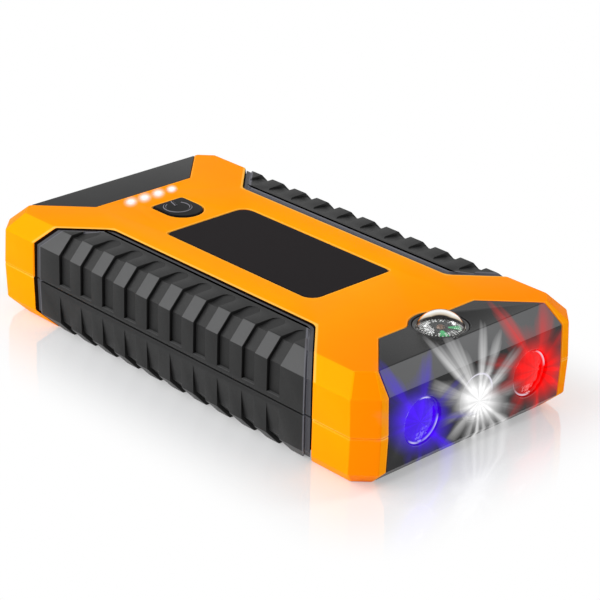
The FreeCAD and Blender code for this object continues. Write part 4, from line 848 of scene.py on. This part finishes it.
# The compass: a clear acrylic dome in a black bezel over a moulded cup, with
# a card on a pin that turns to north with two small bar magnets under it.
compass_x = 70.5
dome_foot, dome_shoulder = 34.2, 34.9
dome_outer_radius, dome_rise = 7.1, 4.3
dome_inner_radius, dome_inner_rise, dome_inner_base = 6.3, 3.95, 34.45


def dome_arc(radius, rise, base, steps=16):
    """Points of a ball cap from its edge to its top, as (radius, height)."""
    ball = (radius ** 2 + rise ** 2) / (2 * rise)
    span = math.asin(radius / ball)
    angles = [span * (1 - step / steps) for step in range(steps)]
    edge_to_top = [(ball * math.sin(angle), base + rise - ball + ball * math.cos(angle)) for angle in angles]
    return edge_to_top + [(0.0, base + rise)]


outer_arc = dome_arc(dome_outer_radius, dome_rise, dome_shoulder)
inner_arc = dome_arc(dome_inner_radius, dome_inner_rise, dome_inner_base)
dome_profile = inner_arc[::-1] + [(dome_inner_radius, dome_foot), (dome_outer_radius, dome_foot)] + outer_arc
dome = turned("compass_clear_dome", dome_profile, (compass_x, 0, 0), (0, 0, 1), 96)

# Clear in the middle, with a brown band of painted shade and a bright cream
# line of painted reflection where the dome curves away from the eye.
acrylic, tree, shader, place = new_material("clear_acrylic_dome")
scuffs = add(tree, "ShaderNodeTexNoise", {
    "Vector": place, "Scale": 0.7 / mm, "Detail": 4.0, "Roughness": 0.7})
polish = add(tree, "ShaderNodeMapRange", {"Value": scuffs, "From Min": 0.55, "From Max": 0.8, "To Max": 0.08})
plug(shader, {"IOR": 1.49, "Transmission Weight": 1.0, "Roughness": polish})
facing = add(tree, "ShaderNodeLayerWeight", {"Blend": 0.5}).outputs["Facing"]
height = add(tree, "ShaderNodeSeparateXYZ", (place,)).outputs["Z"]
start = add(tree, "ShaderNodeMapRange", {
    "Value": height, "From Min": 35.2 * mm, "From Max": 38.4 * mm, "To Min": 0.8, "To Max": 0.36})
past_start = add(tree, "ShaderNodeMath", (facing, start), operation="SUBTRACT")
bright_rim = add(tree, "ShaderNodeMapRange", {
    "Value": past_start, "From Min": -0.02, "From Max": 0.03,
}, interpolation_type="SMOOTHSTEP")
brown_rim = add(tree, "ShaderNodeMapRange", {
    "Value": past_start, "From Min": -0.2, "From Max": -0.14, "To Max": 0.92,
}, interpolation_type="SMOOTHSTEP")
brown_shade = add(tree, "ShaderNodeBsdfPrincipled", {
    "Base Color": "#0C0706", "Roughness": 0.2, "Specular IOR Level": 0.1})
into_rim = add(tree, "ShaderNodeMapRange", {"Value": past_start, "From Min": 0.0, "From Max": 0.62})
fade = add(tree, "ShaderNodeValToRGB", (into_rim,))
stops = fade.color_ramp.elements
stops[0].color = linear("#8C7B68")
stops[1].color = linear("#17100C")
for stop, code in ((0.12, "#D9CDBA"), (0.4, "#FFFFFF"), (0.7, "#F1E9DA"), (0.84, "#5A4C40")):
    stops.new(stop).color = linear(code)
cream_shine = add(tree, "ShaderNodeBsdfAnisotropic", {"Color": fade, "Roughness": 0.12})
light_through = add(tree, "ShaderNodeBsdfTransparent", {"Color": (0.95, 0.95, 0.95, 1)})
in_shadow = add(tree, "ShaderNodeLightPath").outputs["Is Shadow Ray"]
layers = shader
for share, layer in ((brown_rim, brown_shade), (bright_rim, cream_shine), (in_shadow, light_through)):
    layers = add(tree, "ShaderNodeMixShader", (share, layers, layer))
plug(tree.nodes["Material Output"], {"Surface": layers})
fit(dome, acrylic, "case", "clear_plastic", "compass_dome")

bezel_profile = [
    (7.2, 34.2), (8.5, 34.2), (8.5, 34.42), (8.4, 34.6), (8.2, 34.69),
    (7.95, 34.7), (7.7, 34.64), (7.4, 34.5), (7.2, 34.45), (7.2, 34.2),
]
bezel = turned("compass_bezel", bezel_profile, (compass_x, 0, 0), (0, 0, 1), 96)
# The pale edge colour of the bezel is a painted glint.
bezel_abs = moulded(
    "black_abs_polished", "#0A0A0A", "#101010", "#B8B4AE", 0.12, 0.35, 0.8, 0.001,
    edge_share=0.6, edge_width=0.2)
fit(bezel, bezel_abs, "case", "panel_black", "compass_ring")

cup_wall, tree, shader, place = new_material("brown_cup_with_cream_band")
height = add(tree, "ShaderNodeSeparateXYZ", (place,)).outputs["Z"]
band = add(tree, "ShaderNodeMapRange", {"Value": height, "From Min": 33.6 * mm, "From Max": 33.7 * mm})
fleck = add(tree, "ShaderNodeTexNoise", {"Vector": place, "Scale": 0.5 / mm, "Detail": 3.0})
brown = add(tree, "ShaderNodeMix", {0: fleck, 6: "#1C1412", 7: "#33241F"}, data_type="RGBA")
plug(shader, {
    "Base Color": add(tree, "ShaderNodeMix", {0: band, 6: brown, 7: "#F4ECDD"}, data_type="RGBA"),
    "Roughness": add(tree, "ShaderNodeMapRange", {"Value": fleck, "To Min": 0.25, "To Max": 0.4}),
})
paint_nodes(cup_wall, "compass_cup")

card_print = moulded("black_printed_card", "#101312", "#161A19", "#303030", 0.5, 0.3, 0.3, 0.003)
white_ink = moulded("white_screen_ink", "#F2F4F2", "#E4E8E6", "#FFFFFF", 0.5, 0.3, 0.3, 0.002)
green_ink = moulded("green_luminous_ink", "#3FB46A", "#2F9A58", "#7FE0A4", 0.5, 0.3, 0.3, 0.002)
paint_nodes(card_print, "compass_card")
card_top = 34.0
ink_rise = 0.04
tick_count = 36
tick_radius = 5.75
tick_length = 0.85
tick_width = 0.34


def new_group(name, starts):
    """A Geometry Nodes tree and its named inputs, with their starting values."""
    tree = bpy.data.node_groups.new(name, "GeometryNodeTree")
    tree.interface.new_socket(name="Geometry", in_out="OUTPUT", socket_type="NodeSocketGeometry")
    for label, value in starts.items():
        kind = {int: "NodeSocketInt", float: "NodeSocketFloat", tuple: "NodeSocketVector"}[type(value)]
        tree.interface.new_socket(name=label, in_out="INPUT", socket_type=kind).default_value = value
    tree.interface.new_socket(name="Material", in_out="INPUT", socket_type="NodeSocketMaterial")
    return tree, add(tree, "NodeGroupInput").outputs


def close_group(tree, instances, given):
    """Makes the instances real, gives them the material and sends them out."""
    real = add(tree, "GeometryNodeRealizeInstances", (instances,))
    coloured = add(tree, "GeometryNodeSetMaterial", {"Geometry": real, "Material": given["Material"]})
    add(tree, "NodeGroupOutput", (coloured,))


def run_tree(name, tree, values):
    """Evaluates a Geometry Nodes tree on an empty mesh and keeps the plain mesh."""
    holder = link_in(bpy.data.objects.new(name + "_draft", bpy.data.meshes.new(name + "_draft")))
    modifier = holder.modifiers.new("tree", "NODES")
    modifier.node_group = tree
    for item in tree.interface.items_tree:
        if item.item_type == "SOCKET" and item.in_out == "INPUT":
            modifier[item.identifier] = values[item.name]
    return baked(name, holder)


ring_tree, given = new_group("marks_round_a_ring", {
    "Count": 12, "Radius": 0.005, "Size": (0.001, 0.0003, 0.0001), "Centre": (0.0, 0.0, 0.0),
    "Long every": 3, "Short share": 0.6})
circle = add(ring_tree, "GeometryNodeMeshCircle", {"Vertices": given["Count"], "Radius": given["Radius"]})
mark = add(ring_tree, "GeometryNodeMeshCube", {"Size": given["Size"]})
index = add(ring_tree, "GeometryNodeInputIndex")
part = add(ring_tree, "ShaderNodeMath", (index, given["Count"]), operation="DIVIDE")
angle = add(ring_tree, "ShaderNodeMath", (part, 2 * math.pi), operation="MULTIPLY")
left_over = add(ring_tree, "ShaderNodeMath", (index, given["Long every"]), operation="MODULO")
is_short = add(ring_tree, "ShaderNodeMath", (left_over, 0.5), operation="GREATER_THAN")
share = add(ring_tree, "ShaderNodeMapRange", {
    "Value": is_short, "To Min": 1.0, "To Max": given["Short share"]})
placed = add(ring_tree, "GeometryNodeInstanceOnPoints", {
    "Points": circle,
    "Instance": mark,
    "Rotation": add(ring_tree, "ShaderNodeCombineXYZ", {"Z": angle}),
    "Scale": add(ring_tree, "ShaderNodeCombineXYZ", (share, 1.0, 1.0)),
})
moved = add(ring_tree, "GeometryNodeTransform", {"Geometry": placed, "Translation": given["Centre"]})
close_group(ring_tree, moved, given)
ticks = run_tree("compass_card_ticks", ring_tree, {
    "Count": tick_count,
    "Radius": tick_radius * mm,
    "Size": (tick_length * mm, tick_width * mm, ink_rise * mm),
    "Centre": (compass_x * mm, 0.0, (card_top + ink_rise / 2) * mm),
    "Long every": 3,
    "Short share": 0.6,
    "Material": white_ink,
})
fit(ticks, None, "compass", "card_black")

mark_radius = 4.55
mark_height = 1.75
north_angle = math.radians(129)
for number, label in enumerate(("N", "3", "6", "E", "12", "15", "S", "21", "24", "W", "30", "33")):
    angle = north_angle - number * math.pi / 6
    curve = bpy.data.curves.new("card_mark", "FONT")
    curve.body = label
    curve.align_x = "CENTER"
    curve.align_y = "CENTER"
    curve.size = mark_height * mm
    curve.extrude = ink_rise / 2 * mm
    draft = link_in(bpy.data.objects.new("card_mark_draft", curve))
    graph = bpy.context.evaluated_depsgraph_get()
    mesh = bpy.data.meshes.new_from_object(draft.evaluated_get(graph))
    bpy.data.objects.remove(draft)
    spot = (Vector((compass_x, 0, card_top + ink_rise / 2)) + mark_radius * flat_way(angle)) * mm
    mesh.transform(Matrix.Translation(spot) @ Matrix.Rotation(angle - math.pi / 2, 4, "Z"))
    fit(finished("card_mark_" + label, mesh), white_ink, "compass", "card_black")

segment_angles = (math.radians(-36), math.radians(46))
segment_spread = math.radians(15)
segment_outline = ((2.2, 0.5), (3.6, 0.9), (5.2, 1.0), (6.1, 0.9))
segment_lift, segment_rise = 0.01, 0.015
shape = bmesh.new()
for middle in segment_angles:
    low, high = [], []
    for radius, share in segment_outline:
        for rim, angle in ((low, middle - segment_spread * share), (high, middle + segment_spread * share)):
            point = Vector((compass_x, 0, card_top + segment_lift)) + radius * flat_way(angle)
            rim.append(shape.verts.new(point * mm))
    for step in range(len(low) - 1):
        shape.faces.new((low[step], low[step + 1], high[step + 1], high[step]))
thickened(shape, shape.faces[:], segment_rise)
segments = finished("card_green_segments", mesh_of("card_green_segments", shape))
fit(segments, green_ink, "compass", "card_black")

cap_profile = [(0.0, 0.0), (1.25, 0.0), (1.2, 0.25), (0.85, 0.55), (0.45, 0.72), (0.0, 0.78)]
jewel_cap = turned("compass_card_jewel_cap", cap_profile, (compass_x, 0, card_top), (0, 0, 1), 32)
brass_brown = moulded("brown_bronze_cap", "#6B4A32", "#4F3624", "#C09A6C", 0.3, 0.6, 0.4, 0.004)
fit(jewel_cap, brass_brown, "compass", "card_black")


def bare_metal(name, colour, shade, rough, brush):
    """Worked metal: faint brushed streaks along X and dull spots."""
    material, tree, shader, place = new_material(name)
    stretch = (0.1 / brush / mm, 1.0 / brush / mm, 1.0 / brush / mm)
    stretched = add(tree, "ShaderNodeMapping", {"Vector": place, "Scale": stretch})
    streaks = add(tree, "ShaderNodeTexNoise", {"Vector": stretched, "Scale": 1.0, "Detail": 3.0})
    pattern_finish(tree, shader, streaks, colour, shade, rough - 0.08, rough + 0.08, 0.004)
    plug(shader, {"Metallic": 1.0})
    return material


magnet_steel = bare_metal("nickel_plated_magnet", "#C9CBCC", "#A9ACAE", 0.25, 0.5)
paint_nodes(magnet_steel, "compass_magnets", "compass_pin")

# The socket end: two charging sockets folded from tin-plated steel, a
# mains adapter jack, and the blue jump lead socket with its brass contacts
# behind a hinged black dust cover.
tin_steel = bare_metal("tin_plated_steel", "#C6C8C9", "#B0B2B4", 0.28, 0.4)
brass = bare_metal("machined_brass", "#D9B25A", "#C49A45", 0.25, 0.4)
black_nylon = moulded("black_nylon_moulded", "#161616", "#1E1E1E", "#3C3C3C", 0.5, 0.4, 0.4, 0.006)
white_nylon = moulded("white_nylon_moulded", "#E2E0D8", "#D6D3C8", "#F4F3EE", 0.5, 0.4, 0.4, 0.006)
blue_nylon = moulded("blue_nylon_moulded", "#1D4FB4", "#1A469E", "#5B86DE", 0.42, 0.45, 0.4, 0.006)
cover_rubber = moulded("black_soft_cover", "#1D1D1D", "#252525", "#555555", 0.5, 0.4, 0.5, 0.008)
paint_nodes(tin_steel, "usb_shells", "charge_pin")
paint_nodes(white_nylon, "usb_tongues")
paint_nodes(black_nylon, "charge_jack")
paint_nodes(brass, "jump_contacts")
mouth_start = -83.4
jump_block = rounded_copy(
    "jump_lead_socket", "jump_socket", 0.3, 2, lambda point: 1.0 if point.x < mouth_start else 0.0)
fit(jump_block, blue_nylon, "case", "socket_blue", "jump_socket")
cover = rounded_copy("hinged_socket_cover", "socket_cover", 0.3, 2, case_edge_share)
fit(cover, cover_rubber, "cover", "panel_black", "socket_cover")

row_tree, given = new_group("strips_in_a_row", {
    "Count": 4, "Start": (0.0, 0.0, 0.0), "Step": (0.0, 0.001, 0.0), "Size": (0.001, 0.0003, 0.0001)})
line = add(row_tree, "GeometryNodeMeshLine", {
    "Count": given["Count"], "Start Location": given["Start"], "Offset": given["Step"],
}, mode="OFFSET")
strip = add(row_tree, "GeometryNodeMeshCube", {"Size": given["Size"]})
placed = add(row_tree, "GeometryNodeInstanceOnPoints", {"Points": line, "Instance": strip})
close_group(row_tree, placed, given)
gold = bare_metal("gold_flashed_contacts", "#E7C46A", "#D2AC4E", 0.25, 0.3)
contact_count, contact_row = 4, 7.0
contact_length, contact_width, contact_rise = 7.0, 1.1, 0.12
contact_x, contact_z = -80.6, 17.36
for label, y in (("middle", 12.5), ("far", 28.0)):
    contacts = run_tree("usb_contacts_" + label, row_tree, {
        "Count": contact_count,
        "Start": (contact_x * mm, (y - contact_row / 2) * mm, contact_z * mm),
        "Step": (0.0, contact_row / (contact_count - 1) * mm, 0.0),
        "Size": (contact_length * mm, contact_width * mm, contact_rise * mm),
        "Material": gold,
    })
    fit(contacts, None, "case", "contact_brass")

# The boards: glass-epoxy laminate with a green solder mask over copper
# tracks, drilled and screwed to the case posts, carrying the parts below.
green_mask, tree, shader, place = new_material("green_solder_mask")
tracks = add(tree, "ShaderNodeTexBrick", {
    "Vector": place, "Scale": 0.3 / mm, "Color1": "#FFFFFF", "Color2": "#FFFFFF", "Mortar": "#000000",
    "Mortar Size": 0.08, "Mortar Smooth": 0.1,
}).outputs
mask = add(tree, "ShaderNodeMix", {0: tracks["Color"], 6: "#2E8B57", 7: "#14603A"}, data_type="RGBA")
plug(shader, {
    "Base Color": mask,
    "Normal": add(tree, "ShaderNodeBump", {"Height": tracks["Fac"], "Distance": 0.03 * mm}),
    "Roughness": 0.28,
    "IOR": 1.55,
})
epoxy = moulded("black_moulding_compound", "#141414", "#1C1C1C", "#333333", 0.45, 0.4, 0.3, 0.004)
ferrite = moulded("grey_ferrite_block", "#3A3B3D", "#303133", "#5A5B5E", 0.6, 0.3, 0.3, 0.01)
aluminium = bare_metal("drawn_aluminium_can", "#C4C7CA", "#AEB1B4", 0.3, 0.6)
paint_nodes(green_mask, "main_board", "key_board", "lamp_board")
paint_nodes(epoxy, "power_transistors", "control_chip")
paint_nodes(ferrite, "inductor")
paint_nodes(aluminium, "capacitors")
paint_nodes(black_nylon, "switch_body")
paint_nodes(white_nylon, "switch_plunger")
paint_nodes(pipe_clear, "indicator_leds")

# The battery: three flat pouch cells in silver laminate foil, held between
# two sheets of grey foam, with nickel tabs welded to copper bus bars.
pouch, tree, shader, place = new_material("aluminium_laminate_pouch")
crease = add(tree, "ShaderNodeTexNoise", {
    "Vector": place, "Scale": 0.06 / mm, "Detail": 6.0, "Distortion": 0.8})
pattern_finish(tree, shader, crease, "#C3C6CB", "#9FA3A9", 0.25, 0.45, 0.2)
plug(shader, {"Metallic": 0.9})
foam = moulded("grey_cell_foam", "#4A4B4D", "#3B3C3E", "#6A6B6D", 0.9, 0.1, 0.8, 0.15)
nickel = bare_metal("nickel_strip", "#BFC0BB", "#A8A9A4", 0.3, 0.5)
copper = bare_metal("rolled_copper_bar", "#C9794D", "#B2653C", 0.3, 0.5)
paint_nodes(pouch, "lower_cell", "middle_cell", "upper_cell")
paint_nodes(foam, "lower_foam", "upper_foam")
paint_nodes(nickel, "cell_tabs")
paint_nodes(copper, "negative_bus_bar", "positive_bus_bar")

# The screws: zinc-plated steel, pan heads with a pressed cross slot. They
# hold the case halves and the boards to moulded posts.
zinc_steel = bare_metal("zinc_plated_screw_steel", "#B9BCBE", "#9EA1A4", 0.32, 0.3)
paint_nodes(zinc_steel, "case_screws", "board_screws", "key_board_screws")
